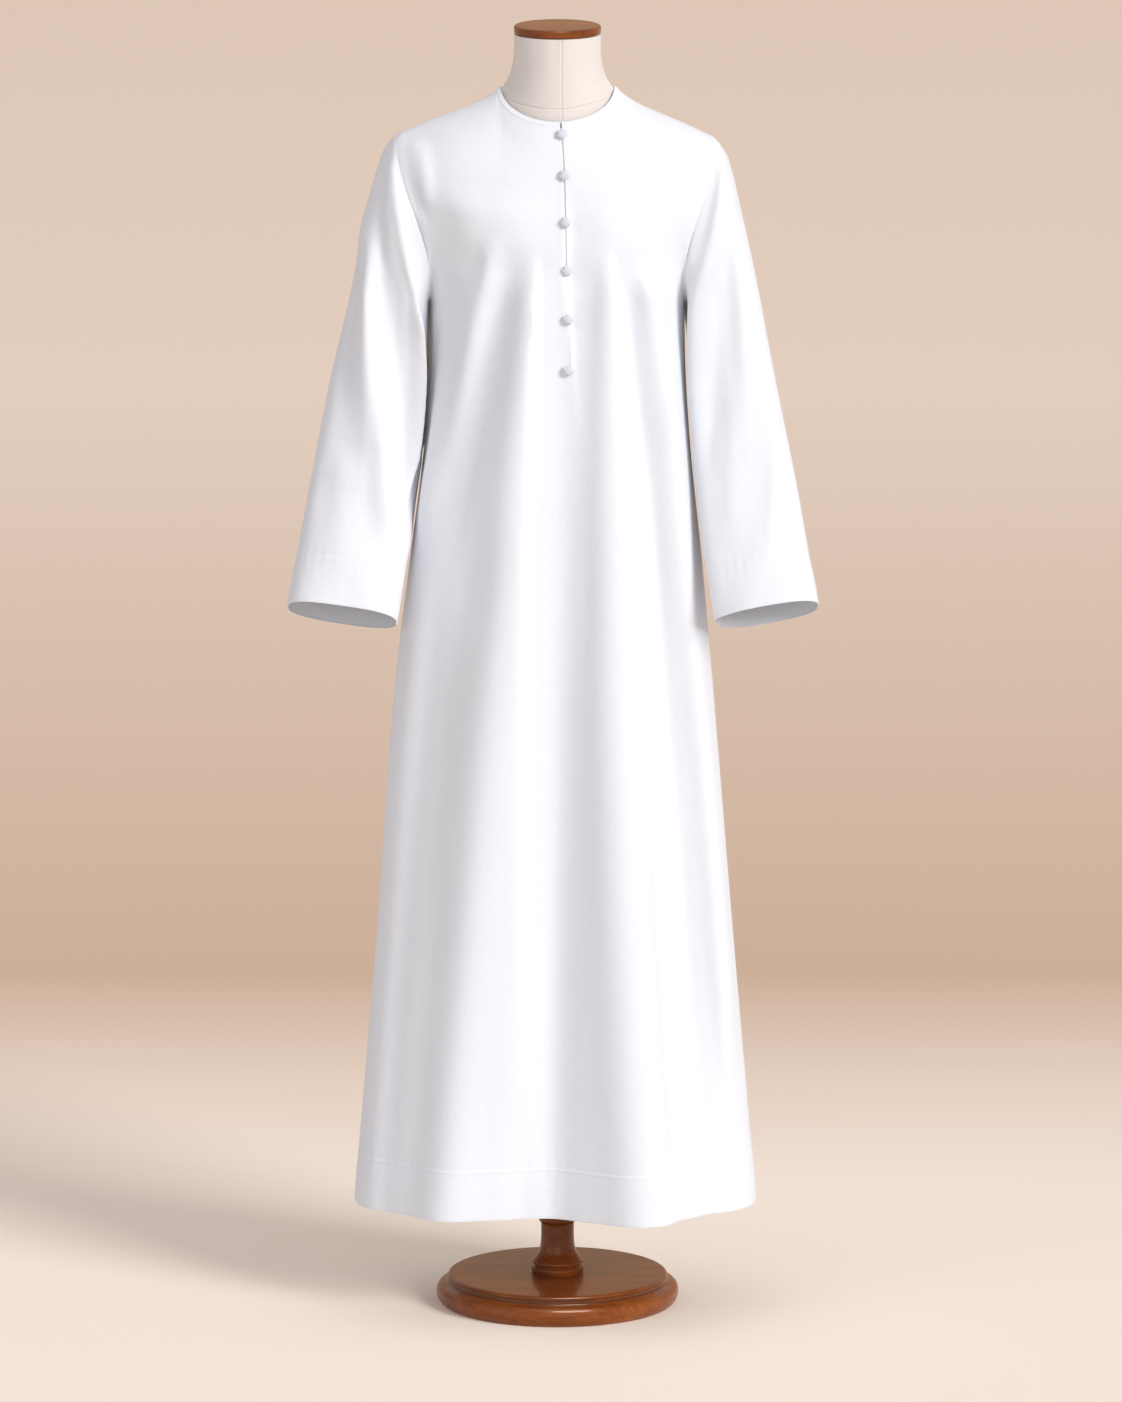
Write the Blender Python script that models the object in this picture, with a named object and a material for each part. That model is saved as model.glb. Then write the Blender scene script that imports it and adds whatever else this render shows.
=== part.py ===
"""A collarless white thobe on a limbless dress form with a turned wooden stand.

Metres, +Z up. The front faces -Y and the wearer's left is +X.
The origin is the middle of the base's underside, on the surface that it stands on.
The robe is a wall of cloth: every panel is a grid of points on the garment's surface, thickened inwards.
"""

import math

import bmesh
import bpy
import numpy as np

# Cloth and seams
CLOTH = 0.0012  # one layer of the robe's cloth
SEAM_GAP = 0.0003  # between pieces that are sewn together
HEM_TURN = 0.060  # the turned hem and cuffs, two layers
FOLD_STEP = 0.002  # the length over which a turned hem's second layer ends

# Heights and widths of the robe
HEM_Z = 0.137
ARMPIT_Z = 1.3318
CHEST_HALF = 0.1645  # half width at the armpits
NECK_SHARE = 0.36  # the neckline takes this share of half a panel's width, the shoulder seam the rest
SHOULDER_SAG = 0.0055  # the shoulder line dips this far below a straight one, close to the neck
ARMHOLE_DEPTH = 0.060  # half of the armhole from front to back
SHOULDER_TIP = {"left": (0.2045, 1.5440), "right": (0.2090, 1.5485)}

# The plain body at each height: an oval with its own front and back depth
BODY_COLUMNS = ("height", "half_width", "middle", "front", "back", "squareness")
BODY = (
    (0.137, 0.2638, -0.0028, 0.1400, 0.1430, 2.25),
    (0.480, 0.2343, -0.0034, 0.1300, 0.1320, 2.20),
    (0.880, 0.2020, -0.0042, 0.1200, 0.1190, 2.12),
    (1.000, 0.1890, -0.0018, 0.1180, 0.1150, 2.08),
    (1.130, 0.1738, -0.0004, 0.1170, 0.1120, 2.04),
    (1.245, 0.1652, 0.0008, 0.1175, 0.1110, 2.00),
    (1.332, 0.1645, 0.0000, 0.1175, 0.1100, 2.00),
)

# Lengthwise folds: where each one lies, as a share of the half width, and how far it stands out or in
FOLD_COLUMNS = ("face", "at_chest", "at_hip", "at_hem", "half_width", "chest", "hip", "hem")
FOLD_HEIGHTS = (HEM_Z, 0.880, 1.300)
FOLD_TOP = 1.420
FOLDS = {
    "long ridge, right side": ("front", -0.25, -0.39, -0.545, 0.150, 0.0030, 0.0100, 0.0150),
    "long ridge, left side": ("front", 0.38, 0.37, 0.425, 0.150, 0.0035, 0.0105, 0.0190),
    "middle trough": ("front", 0.05, 0.03, -0.035, 0.170, -0.0040, -0.0100, -0.0240),
    "trough by the left side": ("front", 0.58, 0.70, 0.785, 0.100, -0.0055, -0.0115, -0.0150),
    "trough by the right side": ("front", -0.44, -0.66, -0.760, 0.110, -0.0030, -0.0045, -0.0060),
    "short ridge, right side": ("front", -0.68, -0.95, -0.985, 0.090, 0.0045, 0.0045, 0.0050),
    "back ridge, right side": ("back", -0.52, -0.50, -0.560, 0.150, 0.0020, 0.0090, 0.0150),
    "back ridge, middle": ("back", -0.06, -0.08, -0.060, 0.160, 0.0010, 0.0070, 0.0150),
    "back ridge, left side": ("back", 0.46, 0.42, 0.480, 0.150, 0.0020, 0.0090, 0.0160),
    "back trough, right": ("back", -0.28, -0.30, -0.320, 0.120, -0.0020, -0.0070, -0.0120),
    "back trough, left": ("back", 0.18, 0.18, 0.220, 0.130, -0.0020, -0.0070, -0.0120),
    "back trough by the left side": ("back", 0.72, 0.76, 0.800, 0.110, -0.0010, -0.0050, -0.0080),
}

# Necklines: half width, depth to the front and back, height at the shoulder, drop to the front and back
NECK_COLUMNS = ("half_width", "front", "back", "height", "front_drop", "back_drop")
PANEL_NECK = (0.0785, 0.0695, 0.0720, 1.6085, 0.0385, 0.0180)
BINDING_NECK = (0.0735, 0.0640, 0.0660, 1.6115, 0.0370, 0.0165)
FORM_NECK = (0.0725, 0.0630, 0.0650, 1.6110, 0.0390, 0.0185)
# How far a column leans in at its top, in degrees: level on the shoulder, steeper at the neck
LEAN_PLACES = (0.0, 0.18, 0.30, 0.36, 0.46, 0.60, 1.0)
COLUMN_LEAN = {"front": (62, 66, 73, 78, 85, 90, 90), "back": (72, 74, 77, 80, 86, 90, 90)}

# The front slit, its underlap and the buttons
SLIT_WIDTH = 0.0008
SLIT_X_TOP = 0.0046
SLIT_X_CHEST = 0.0136
SLIT_END_Z = 1.380
BINDING_SEAT = 0.0009  # the band starts this far up from the panels' edge
BINDING_HALF = 0.00108  # half of the band's thickness
# The band's section: shares of its width and of its half thickness
BINDING_SECTION = ((0.0, -1.0), (0.0, 0.8), (0.5, 1.25), (0.92, 1.0), (1.06, 0.0), (0.92, -1.0))
UNDERLAP_HALF = 0.013
UNDERLAP_GAP = 0.0004
UNDERLAP_COLUMNS = 7
UNDERLAP_ROWS = 12
UNDERLAP_FROM, UNDERLAP_TO = 0.155, 0.985  # shares of the way from the armpits' height to the neckline
BUTTON_HEIGHTS = (1.5595, 1.5096, 1.4508, 1.3886, 1.3253, 1.2587)
BUTTON_RADIUS = 0.0068
BUTTON_RISE = 0.0052
BUTTON_SEAT = 0.0009  # room for the curve of the chest under a flat button
BUTTON_SIDES = 14
# A button's dome, from its seat up: shares of its radius and rise
BUTTON_PROFILE = ((0.80, 0.0), (1.0, 0.22), (0.97, 0.45), (0.78, 0.75), (0.42, 0.95))

# Sleeves: the outer and inner edge as seen from the front, the middle's y, the half depth, the tilt forwards
SLEEVE_COLUMNS = ("share", "outer_x", "outer_z", "inner_x", "inner_z", "middle_y", "half_depth", "tilt")
SLEEVES = {
    "left": (
        (0.00, 0.2045, 1.5440, 0.1645, 1.3318, 0.000, 0.0600, 0),
        (0.04, 0.2190, 1.5210, 0.1672, 1.3294, 0.000, 0.0615, 0),
        (0.08, 0.2262, 1.4985, 0.1674, 1.3246, 0.000, 0.0630, 0),
        (0.15, 0.2365, 1.4550, 0.1678, 1.3120, 0.000, 0.0640, 0),
        (0.30, 0.2575, 1.3600, 0.1680, 1.2717, -0.001, 0.0630, 2),
        (0.45, 0.2750, 1.2680, 0.1690, 1.2170, -0.005, 0.0600, 6),
        (0.60, 0.2930, 1.1780, 0.1745, 1.1500, -0.014, 0.0570, 11),
        (0.75, 0.3110, 1.0900, 0.1838, 1.0720, -0.033, 0.0530, 16),
        (0.90, 0.3270, 1.0020, 0.1945, 0.9820, -0.062, 0.0500, 21),
        (1.00, 0.3387, 0.9435, 0.2033, 0.9205, -0.086, 0.0480, 24),
    ),
    "right": (
        (0.00, 0.2090, 1.5485, 0.1645, 1.3318, 0.000, 0.0600, 0),
        (0.04, 0.2253, 1.5295, 0.1672, 1.3294, 0.000, 0.0615, 0),
        (0.08, 0.2338, 1.5060, 0.1674, 1.3246, 0.000, 0.0630, 0),
        (0.15, 0.2465, 1.4630, 0.1678, 1.3120, 0.000, 0.0640, 0),
        (0.30, 0.2668, 1.3710, 0.1680, 1.2717, -0.001, 0.0630, 2),
        (0.45, 0.2855, 1.2790, 0.1690, 1.2170, -0.005, 0.0600, 6),
        (0.60, 0.3035, 1.1890, 0.1745, 1.1500, -0.014, 0.0570, 11),
        (0.75, 0.3205, 1.0980, 0.1865, 1.0720, -0.033, 0.0530, 16),
        (0.90, 0.3385, 1.0030, 0.1975, 0.9820, -0.062, 0.0500, 21),
        (1.00, 0.3503, 0.9422, 0.2073, 0.9205, -0.086, 0.0480, 24),
    ),
}
SLEEVE_LENGTH = 0.63
SLEEVE_SQUARENESS = 2.6  # a hanging sleeve is flatter in front and behind than an oval
SLEEVE_SEAM = 0.0011  # the sleeve turns down from the armhole, so its outer layer starts this far on
UNDERARM_CLEAR = 0.0009

# Sleeve folds: angle round the sleeve at the top and the cuff (0 inner, 90 front, 180 outer, 270 back)
SLEEVE_FOLD_COLUMNS = ("top_angle", "cuff_angle", "half_angle", "from_share", "to_share", "height")
SLEEVE_FOLDS = {
    "left": (
        (140, 50, 20, 0.24, 0.86, -0.0050),
        (95, 30, 20, 0.20, 0.70, 0.0030),
        (160, 115, 22, 0.35, 0.98, 0.0035),
        (225, 280, 22, 0.22, 0.90, -0.0045),
        (280, 320, 20, 0.25, 0.95, 0.0030),
    ),
    "right": (
        (105, 85, 18, 0.20, 0.98, 0.0040),
        (150, 128, 18, 0.25, 0.95, -0.0045),
        (70, 48, 16, 0.22, 0.85, -0.0035),
        (235, 285, 22, 0.22, 0.90, -0.0045),
        (290, 325, 20, 0.25, 0.95, 0.0030),
    ),
}

# The dress form: ovals up to the chest, in BODY_COLUMNS, and the robe's own shape less a clearance above
FORM_BOTTOM_Z = 0.822
FORM = (
    (FORM_BOTTOM_Z, 0.1480, 0.0, 0.0880, 0.0930, 2.3),
    (0.832, 0.1600, 0.0, 0.0970, 0.1020, 2.3),
    (0.900, 0.1620, 0.0, 0.0980, 0.1040, 2.2),
    (1.060, 0.1440, 0.0, 0.0920, 0.0900, 2.1),
    (1.200, 0.1510, 0.0, 0.1020, 0.0960, 2.0),
    (1.332, 0.1570, 0.0, 0.1075, 0.1000, 2.0),
)
FORM_ROWS = (FORM_BOTTOM_Z, 0.832, 0.90, 0.98, 1.06, 1.15, 1.24)
FORM_CLEAR_SHOULDER = 0.00035
FORM_CLEAR_CHEST = 0.0070
FORM_CLEAR_NECK = 0.0016
FORM_CLEAR_POWER = 1.6  # the clearance closes this fast from the chest to the shoulder
NECK_CLEAR_BLEND = 0.06  # half of the share over which the neck's own clearance ends
NECK_TOP_Z = 1.6800
NECK_TOP_RADIUS = 0.0560
NECK_FLARE = 3.0  # how sharply the neck turns out into the shoulders
NECK_STEPS = (0.12, 0.28, 0.48, 0.72, 1.0)

# Turned wood, as (radius, height) down the outside, from the top
CAP_RADIUS = 0.0563
CAP_HEIGHT = 0.0110
CAP_ROUND = 0.0032
CAP_BEND = (0, 30, 60, 90)  # degrees round the cap's edge
POST_RADIUS = 0.0160
PLATE_TOP_Z = 0.0377
FOOT_TOP_Z = 0.1165
FOOT_PROFILE = (
    (0.0225, FOOT_TOP_Z),
    (0.0243, 0.1150),
    (0.0248, 0.1115),
    (0.0243, 0.1080),
    (0.0222, 0.1055),
    (0.0217, 0.0980),
    (0.0217, 0.0850),
    (0.0226, 0.0745),
    (0.0258, 0.0640),
    (0.0312, 0.0565),
    (0.0333, 0.0535),
    (0.0333, 0.0515),
    (0.0310, 0.0500),
    (0.0310, 0.0485),
    (0.0338, 0.0465),
    (0.0342, 0.0430),
    (0.0336, PLATE_TOP_Z + SEAM_GAP),
)
PLATE_PROFILE = (
    (0.1395, PLATE_TOP_Z),
    (0.1425, 0.0369),
    (0.1440, 0.0350),
    (0.1440, 0.0300),
    (0.1452, 0.0278),
    (0.1485, 0.0262),
    (0.1540, 0.0240),
    (0.1578, 0.0200),
    (0.1590, 0.0145),
    (0.1582, 0.0085),
    (0.1555, 0.0030),
    (0.1525, 0.0000),
)

# How finely each piece is cut
CAP_SIDES, POST_SIDES, FOOT_SIDES, PLATE_SIDES = 36, 24, 28, 44
PANEL_LOWER_ROWS = 10
PANEL_UPPER_ROWS = 12
NECK_COLUMNS_HALF = 6
SHOULDER_COLUMNS_HALF = 9
SLEEVE_ROWS = (0.0, 0.03, 0.065, 0.11, 0.165, 0.23, 0.30, 0.38, 0.46, 0.54, 0.62, 0.70, 0.78, 0.85)

FACE_SIGN = {"front": -1.0, "back": 1.0}
SIDE_SIGN = {"left": 1.0, "right": -1.0}

# colour, roughness, metallic
FINISHES = {
    "white cotton": ((0.83, 0.83, 0.82, 1), 0.85, 0.0),
    "natural linen": ((0.78, 0.70, 0.63, 1), 0.90, 0.0),
    "varnished wood": ((0.24, 0.07, 0.03, 1), 0.22, 0.0),
}


def through(knots, values, at):
    """A smooth curve through the knots: cubic pieces, each knot's slope the mean of its neighbours'."""
    knots = np.asarray(knots, float)
    values = np.asarray(values, float)
    slopes = np.gradient(values, knots)
    first = np.clip(np.searchsorted(knots, at) - 1, 0, len(knots) - 2)
    span = knots[first + 1] - knots[first]
    t = np.clip((at - knots[first]) / span, 0, 1)
    start = (1 + 2 * t) * (1 - t) ** 2 * values[first] + t * (1 - t) ** 2 * span * slopes[first]
    end = t * t * (3 - 2 * t) * values[first + 1] + t * t * (t - 1) * span * slopes[first + 1]
    return start + end


def ease(t):
    """0 to 1 with a level start and end."""
    t = np.clip(t, 0, 1)
    return t * t * (3 - 2 * t)


def read(table, columns, name, at):
    """One column of a table at the given places in its first column."""
    rows = np.array(table, float)
    return through(rows[:, 0], rows[:, columns.index(name)], at)


def oval(u, z, face, table, columns):
    """A point of the plain body at height z: u runs from -1 at one side seam to 1 at the other.

    An oval x = middle + a sin^p, y = depth cos^p of the angle 90 u degrees, with p = 2 / squareness.
    Also gives the share of the half width and the horizontal direction that points out of the oval.
    """
    angle = u * math.pi / 2
    squareness = read(table, columns, "squareness", z)
    half_width = read(table, columns, "half_width", z)
    depth = read(table, columns, face, z)
    share = np.sign(angle) * np.abs(np.sin(angle)) ** (2 / squareness)
    away = np.abs(np.cos(angle)) ** (2 / squareness)
    x = read(table, columns, "middle", z) + half_width * share
    y = FACE_SIGN[face] * depth * away
    out_x = np.sign(share) * np.abs(share) ** (squareness - 1) / half_width
    out_y = FACE_SIGN[face] * away ** (squareness - 1) / depth
    length = np.hypot(out_x, out_y)
    return np.stack([x, y, z + 0 * x], -1), share, np.stack([out_x / length, out_y / length, 0 * x], -1)


def fold_rise(share, z, face):
    """How far the cloth stands out of the plain body: a sum of bell-shaped ridges and troughs."""
    rise = np.zeros_like(share)
    fade = ease((FOLD_TOP - z) / (FOLD_TOP - ARMPIT_Z))
    for row in FOLDS.values():
        fold = dict(zip(FOLD_COLUMNS, row))
        if fold["face"] != face:
            continue
        place = through(FOLD_HEIGHTS, (fold["at_hem"], fold["at_hip"], fold["at_chest"]), z)
        height = through(FOLD_HEIGHTS, (fold["hem"], fold["hip"], fold["chest"]), z)
        rise += height * np.exp(-(((share - place) / fold["half_width"]) ** 2))
    return rise * fade * (1 - np.abs(share) ** 8)


def top_edge(u, face, neck):
    """The neckline out to NECK_SHARE, a tilted half oval, and the shoulder seam from there to the tip."""
    cut = dict(zip(NECK_COLUMNS, neck))
    side = np.sign(u)
    turn = np.clip(np.abs(u) / NECK_SHARE, 0, 1) * math.pi / 2
    along = np.clip((np.abs(u) - NECK_SHARE) / (1 - NECK_SHARE), 0, 1)
    tip_x = np.where(side > 0, SHOULDER_TIP["left"][0], SHOULDER_TIP["right"][0])
    tip_z = np.where(side > 0, SHOULDER_TIP["left"][1], SHOULDER_TIP["right"][1])
    x = side * (cut["half_width"] * np.sin(turn) + (tip_x - cut["half_width"]) * along)
    y = FACE_SIGN[face] * cut[face] * np.cos(turn)
    z = cut["height"] - cut[face + "_drop"] * np.cos(turn) + (tip_z - cut["height"]) * along
    return np.stack([x, y, z - SHOULDER_SAG * np.sin(math.pi * np.sqrt(along)) ** 2], -1)


def armhole_share(rise):
    """How far out the armhole has come at a share of its height: it stays in at first, then swings out."""
    return ease((rise - 0.18) / 0.82)


def yoke(u, v, face, neck=PANEL_NECK):
    """The body above the armpits: v runs from 0 at the armpit's height to 1 at the neckline or shoulder seam.

    Each column is an arc that leaves the chest upright and leans in: 90 degrees on the shoulder, less at the
    neck. At the armhole it turns into half an oval loop, so the surface swells there by the armhole's depth.
    """
    foot, share, out = oval(u, ARMPIT_Z + 0 * u * v, face, BODY, BODY_COLUMNS)
    head = top_edge(u + 0 * v, face, neck)
    lean = np.radians(through(LEAN_PLACES, COLUMN_LEAN[face], np.abs(u))) + 0 * v
    swing = v * lean
    at_edge = np.abs(u) ** 5
    rise = (1 - at_edge) * np.sin(swing) / np.sin(lean) + at_edge * (1 - np.cos(math.pi * v)) / 2
    back = (np.cos(swing) - np.cos(lean)) / (1 - np.cos(lean))
    swell = ARMHOLE_DEPTH * np.abs(u) ** 1.2 * np.sin(math.pi * np.clip(v, 0, 1)) ** (2 - np.abs(u) ** 3)
    x = foot[..., 0] + (head[..., 0] - foot[..., 0]) * armhole_share(rise)
    y = head[..., 1] + (foot[..., 1] - head[..., 1]) * back + FACE_SIGN[face] * swell
    z = foot[..., 2] + (head[..., 2] - foot[..., 2]) * rise
    return np.stack([x, y, z], -1), share, out


def normals(points, wrap):
    """Unit directions out of a grid of points, from the cross product of its two tangents."""
    along = np.gradient(points, axis=0)
    if wrap:
        padded = np.concatenate([points[:, -1:], points, points[:, :1]], axis=1)
        across = (padded[:, 2:] - padded[:, :-2]) / 2
    else:
        across = np.gradient(points, axis=1)
    out = np.cross(across, along)
    return out / np.linalg.norm(out, axis=-1, keepdims=True)


def slit_shares():
    """The slit's place across the front at the chest and at the neckline, as values of u."""
    at_chest = math.asin(SLIT_X_CHEST / CHEST_HALF) / (math.pi / 2)
    at_neck = math.asin(SLIT_X_TOP / PANEL_NECK[0]) / (math.pi / 2) * NECK_SHARE
    return at_chest, at_neck


def panel_grid(columns, lower, upper, face):
    """The panel's outer points: rows at the given heights up to the armpit, then at the given v's.

    The front's columns lean a little, so that the middle one follows the slit.
    """
    shift = np.clip(1 - np.abs(columns) / NECK_SHARE, 0, 1) if face == "front" else 0 * columns
    at_chest, at_neck = slit_shares()
    z = lower[:, None]
    u = columns[None, :] + shift[None, :] * at_chest * (z - HEM_Z) / (ARMPIT_Z - HEM_Z)
    below, share, out = oval(u, z + 0 * u, face, BODY, BODY_COLUMNS)
    below = below + out * fold_rise(share, z + 0 * u, face)[..., None]
    v = upper[:, None]
    u = columns[None, :] + shift[None, :] * (at_chest + (at_neck - at_chest) * v)
    above, share, out = yoke(u, v, face)
    above = above + out * fold_rise(share, above[..., 2], face)[..., None]
    return np.concatenate([below, above])


def panel(face, columns, lower, upper):
    """Outer points and directions out of a panel, with half a seam's gap at its sides."""
    points = panel_grid(columns, lower, upper, face)
    out = normals(points, wrap=False) * (1 if face == "front" else -1)
    shoulder = np.abs(columns) >= NECK_SHARE
    out[: len(lower) + 1, [0, -1], 1] = 0
    out[-1, shoulder, 1] = 0
    out /= np.linalg.norm(out, axis=-1, keepdims=True)
    half_gap = FACE_SIGN[face] * SEAM_GAP / 2
    points[: len(lower), [0, -1], 1] += half_gap
    points[-1, shoulder, 1] += half_gap
    return points, out


def body_from(name, vertices, faces, finish):
    """One closed object with its material, shaded smooth but for its sharp edges."""
    mesh = bpy.data.meshes.new(name)
    mesh.from_pydata([tuple(v) for v in vertices], [], [tuple(f) for f in faces])
    colour, roughness, metallic = FINISHES[finish]
    material = bpy.data.materials.get(finish) or bpy.data.materials.new(finish)
    material.use_nodes = True
    shader = material.node_tree.nodes["Principled BSDF"]
    shader.inputs["Base Color"].default_value = colour
    shader.inputs["Roughness"].default_value = roughness
    shader.inputs["Metallic"].default_value = metallic
    mesh.materials.append(material)
    solid = bmesh.new()
    solid.from_mesh(mesh)
    bmesh.ops.remove_doubles(solid, verts=solid.verts, dist=1e-6)
    bmesh.ops.triangulate(solid, faces=solid.faces)
    if solid.calc_volume(signed=True) < 0:
        bmesh.ops.reverse_faces(solid, faces=solid.faces)
    solid.to_mesh(mesh)
    solid.free()
    mesh.shade_smooth()
    mesh.set_sharp_from_angle(angle=math.radians(40))
    made = bpy.data.objects.new(name, mesh)
    bpy.context.scene.collection.objects.link(made)
    return made


def wall(name, outer, inner, finish, wrap=False, kept=None):
    """A closed wall between two grids of points, rimmed wherever a kept cell has no kept neighbour."""
    rows, columns = outer.shape[:2]
    across = columns if wrap else columns - 1
    if kept is None:
        kept = np.ones((rows - 1, across), bool)
    inside = rows * columns
    faces = []
    for r in range(rows - 1):
        for c in range(across):
            if not kept[r, c]:
                continue
            d = (c + 1) % columns
            corners = (r * columns + c, r * columns + d, (r + 1) * columns + d, (r + 1) * columns + c)
            faces.append(corners)
            faces.append(tuple(inside + k for k in reversed(corners)))
            beside = (
                (r > 0 and kept[r - 1, c], corners[0], corners[1]),
                ((wrap or c + 1 < across) and kept[r, (c + 1) % across], corners[1], corners[2]),
                (r + 1 < rows - 1 and kept[r + 1, c], corners[2], corners[3]),
                ((wrap or c > 0) and kept[r, c - 1], corners[3], corners[0]),
            )
            for neighbour, a, b in beside:
                if not neighbour:
                    faces.append((b, a, inside + a, inside + b))
    vertices = np.concatenate([outer.reshape(-1, 3), inner.reshape(-1, 3)])
    used = sorted({k for face in faces for k in face})
    place = {k: i for i, k in enumerate(used)}
    return body_from(name, vertices[used], [tuple(place[k] for k in f) for f in faces], finish)


def turned(name, profile, sides, finish):
    """A solid of revolution about the Z axis from (radius, height) pairs, closed at both ends."""
    angles = np.arange(sides) * 2 * math.pi / sides
    rings = [[(r * math.cos(a), r * math.sin(a), z) for a in angles] for r, z in profile]
    vertices = [point for ring in rings for point in ring]
    faces = []
    for k in range(len(profile) - 1):
        for i in range(sides):
            j = (i + 1) % sides
            faces.append((k * sides + j, k * sides + i, (k + 1) * sides + i, (k + 1) * sides + j))
    faces.append(tuple(range(sides)))
    faces.append(tuple(reversed(range((len(profile) - 1) * sides, len(profile) * sides))))
    return body_from(name, vertices, faces, finish)


def panel_rows():
    """Heights of the rows up to the armpit, with the hem's turn, and the v's above it."""
    step = (ARMPIT_Z - HEM_Z - HEM_TURN) / PANEL_LOWER_ROWS
    plain = HEM_Z + HEM_TURN + step * np.arange(1, PANEL_LOWER_ROWS)
    lower = np.concatenate([[HEM_Z, HEM_Z + HEM_TURN - FOLD_STEP, HEM_Z + HEM_TURN], plain])
    return lower, np.arange(PANEL_UPPER_ROWS + 1) / PANEL_UPPER_ROWS


def panel_columns(face):
    """Columns across a panel, even on the neckline and on the shoulders. The front has the slit's two edges."""
    neck = NECK_SHARE * np.arange(1, NECK_COLUMNS_HALF + 1) / NECK_COLUMNS_HALF
    shoulder = NECK_SHARE + (1 - NECK_SHARE) * np.arange(1, SHOULDER_COLUMNS_HALF + 1) / SHOULDER_COLUMNS_HALF
    half = np.concatenate([neck, shoulder])
    edge = SLIT_WIDTH / 2 / (CHEST_HALF * math.pi / 2)
    middle = [-edge, edge] if face == "front" else [0.0]
    return np.concatenate([-half[::-1], middle, half])


def layers(lower, rows):
    """Thickness of each row: two layers in the turned hem, one above it."""
    thick = np.full(rows, CLOTH)
    thick[: np.count_nonzero(lower < HEM_Z + HEM_TURN - FOLD_STEP / 2)] = 2 * CLOTH
    return thick[:, None, None]


def make_front():
    columns = panel_columns("front")
    lower, upper = panel_rows()
    points, out = panel("front", columns, lower, upper)
    kept = np.ones((len(points) - 1, len(columns) - 1), bool)
    middle = len(columns) // 2 - 1
    kept[points[:-1, middle, 2] > SLIT_END_Z, middle] = False
    wall("front", points, points - out * layers(lower, len(points)), "white cotton", kept=kept)


def make_back():
    columns = panel_columns("back")
    lower, upper = panel_rows()
    points, out = panel("back", columns, lower, upper)
    wall("back", points, points - out * layers(lower, len(points)), "white cotton")


def make_underlap():
    """The strip behind the slit, a little inside the front's inner face."""
    reach = UNDERLAP_HALF / (CHEST_HALF * math.pi / 2)
    columns = np.linspace(-reach, reach, UNDERLAP_COLUMNS)
    upper = np.linspace(UNDERLAP_FROM, UNDERLAP_TO, UNDERLAP_ROWS)
    points = panel_grid(columns, np.array([HEM_Z]), upper, "front")[1:]
    out = normals(points, wrap=False)
    outer = points - out * (CLOTH + UNDERLAP_GAP)
    wall("front_underlap", outer, outer - out * CLOTH, "white cotton")


def sleeve_point(share, angle, side):
    """The sleeve's surface: share 0 at the armhole to 1 at the cuff, angle round from the inner edge.

    Each ring is an oval across from the inner to the outer edge and from front to back, squarer below the
    armhole. The first rings take the armhole's curve, and those near the cuff tilt, as a bent arm's would.
    """
    rows = SLEEVES[side]
    place = {name: read(rows, SLEEVE_COLUMNS, name, share) for name in SLEEVE_COLUMNS[1:]}
    by_armhole = 1 - ease(share / 0.12)
    power = 2 / (SLEEVE_SQUARENESS + (2 - SLEEVE_SQUARENESS) * by_armhole)
    rise = (1 - np.sign(np.cos(angle)) * np.abs(np.cos(angle)) ** power) / 2
    across = rise + (armhole_share(rise) - rise) * by_armhole
    x = place["inner_x"] + (place["outer_x"] - place["inner_x"]) * across
    forward = -place["half_depth"] * np.sign(np.sin(angle)) * np.abs(np.sin(angle)) ** power
    tilt = -forward * np.tan(np.radians(place["tilt"]))
    z = place["inner_z"] + (place["outer_z"] - place["inner_z"]) * rise + tilt
    return np.stack([SIDE_SIGN[side] * x, place["middle_y"] + forward, z], -1)


def sleeve_rise(share, angle, side):
    """Long soft folds that wander round the sleeve on their way to the cuff."""
    rise = np.zeros_like(share + angle)
    degrees = np.degrees(angle)
    for row in SLEEVE_FOLDS[side]:
        fold = dict(zip(SLEEVE_FOLD_COLUMNS, row))
        length = fold["to_share"] - fold["from_share"]
        along = (share - fold["from_share"]) / length
        middle = fold["top_angle"] + (fold["cuff_angle"] - fold["top_angle"]) * np.clip(along, 0, 1)
        fade = ease(along / 0.25) * ease((1 - along) / 0.25)
        rise += fold["height"] * fade * np.exp(-(((degrees - middle) / fold["half_angle"]) ** 2))
    return rise


def into_armhole(angles, side):
    """Unit directions that carry a panel's surface on past its armhole edge, at each angle round the loop."""
    step = 0.01
    sign = SIDE_SIGN[side]
    found = np.zeros((len(angles), 3))
    for face in FACE_SIGN:
        v = np.where(np.sin(angles) * FACE_SIGN[face] <= 1e-9, angles, 2 * math.pi - angles) / math.pi
        at_edge, _, _ = yoke(sign + 0 * v, v, face)
        within, _, _ = yoke(sign * (1 - step) + 0 * v, v, face)
        before, _, _ = yoke(sign + 0 * v, v - step, face)
        after, _, _ = yoke(sign + 0 * v, v + step, face)
        along = (after - before) / np.linalg.norm(after - before, axis=-1, keepdims=True)
        away = at_edge - within
        away -= along * (away * along).sum(-1, keepdims=True)
        away /= np.maximum(np.linalg.norm(away, axis=-1, keepdims=True), 1e-9)
        here = np.sin(angles) * FACE_SIGN[face] < -1e-9
        found[here] = away[here]
    lone = np.abs(np.sin(angles)) < 1e-9
    found[lone] = (np.roll(found, 1, 0) + np.roll(found, -1, 0))[lone]
    found[lone, 1] = 0
    return found / np.linalg.norm(found, axis=-1, keepdims=True)


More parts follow.
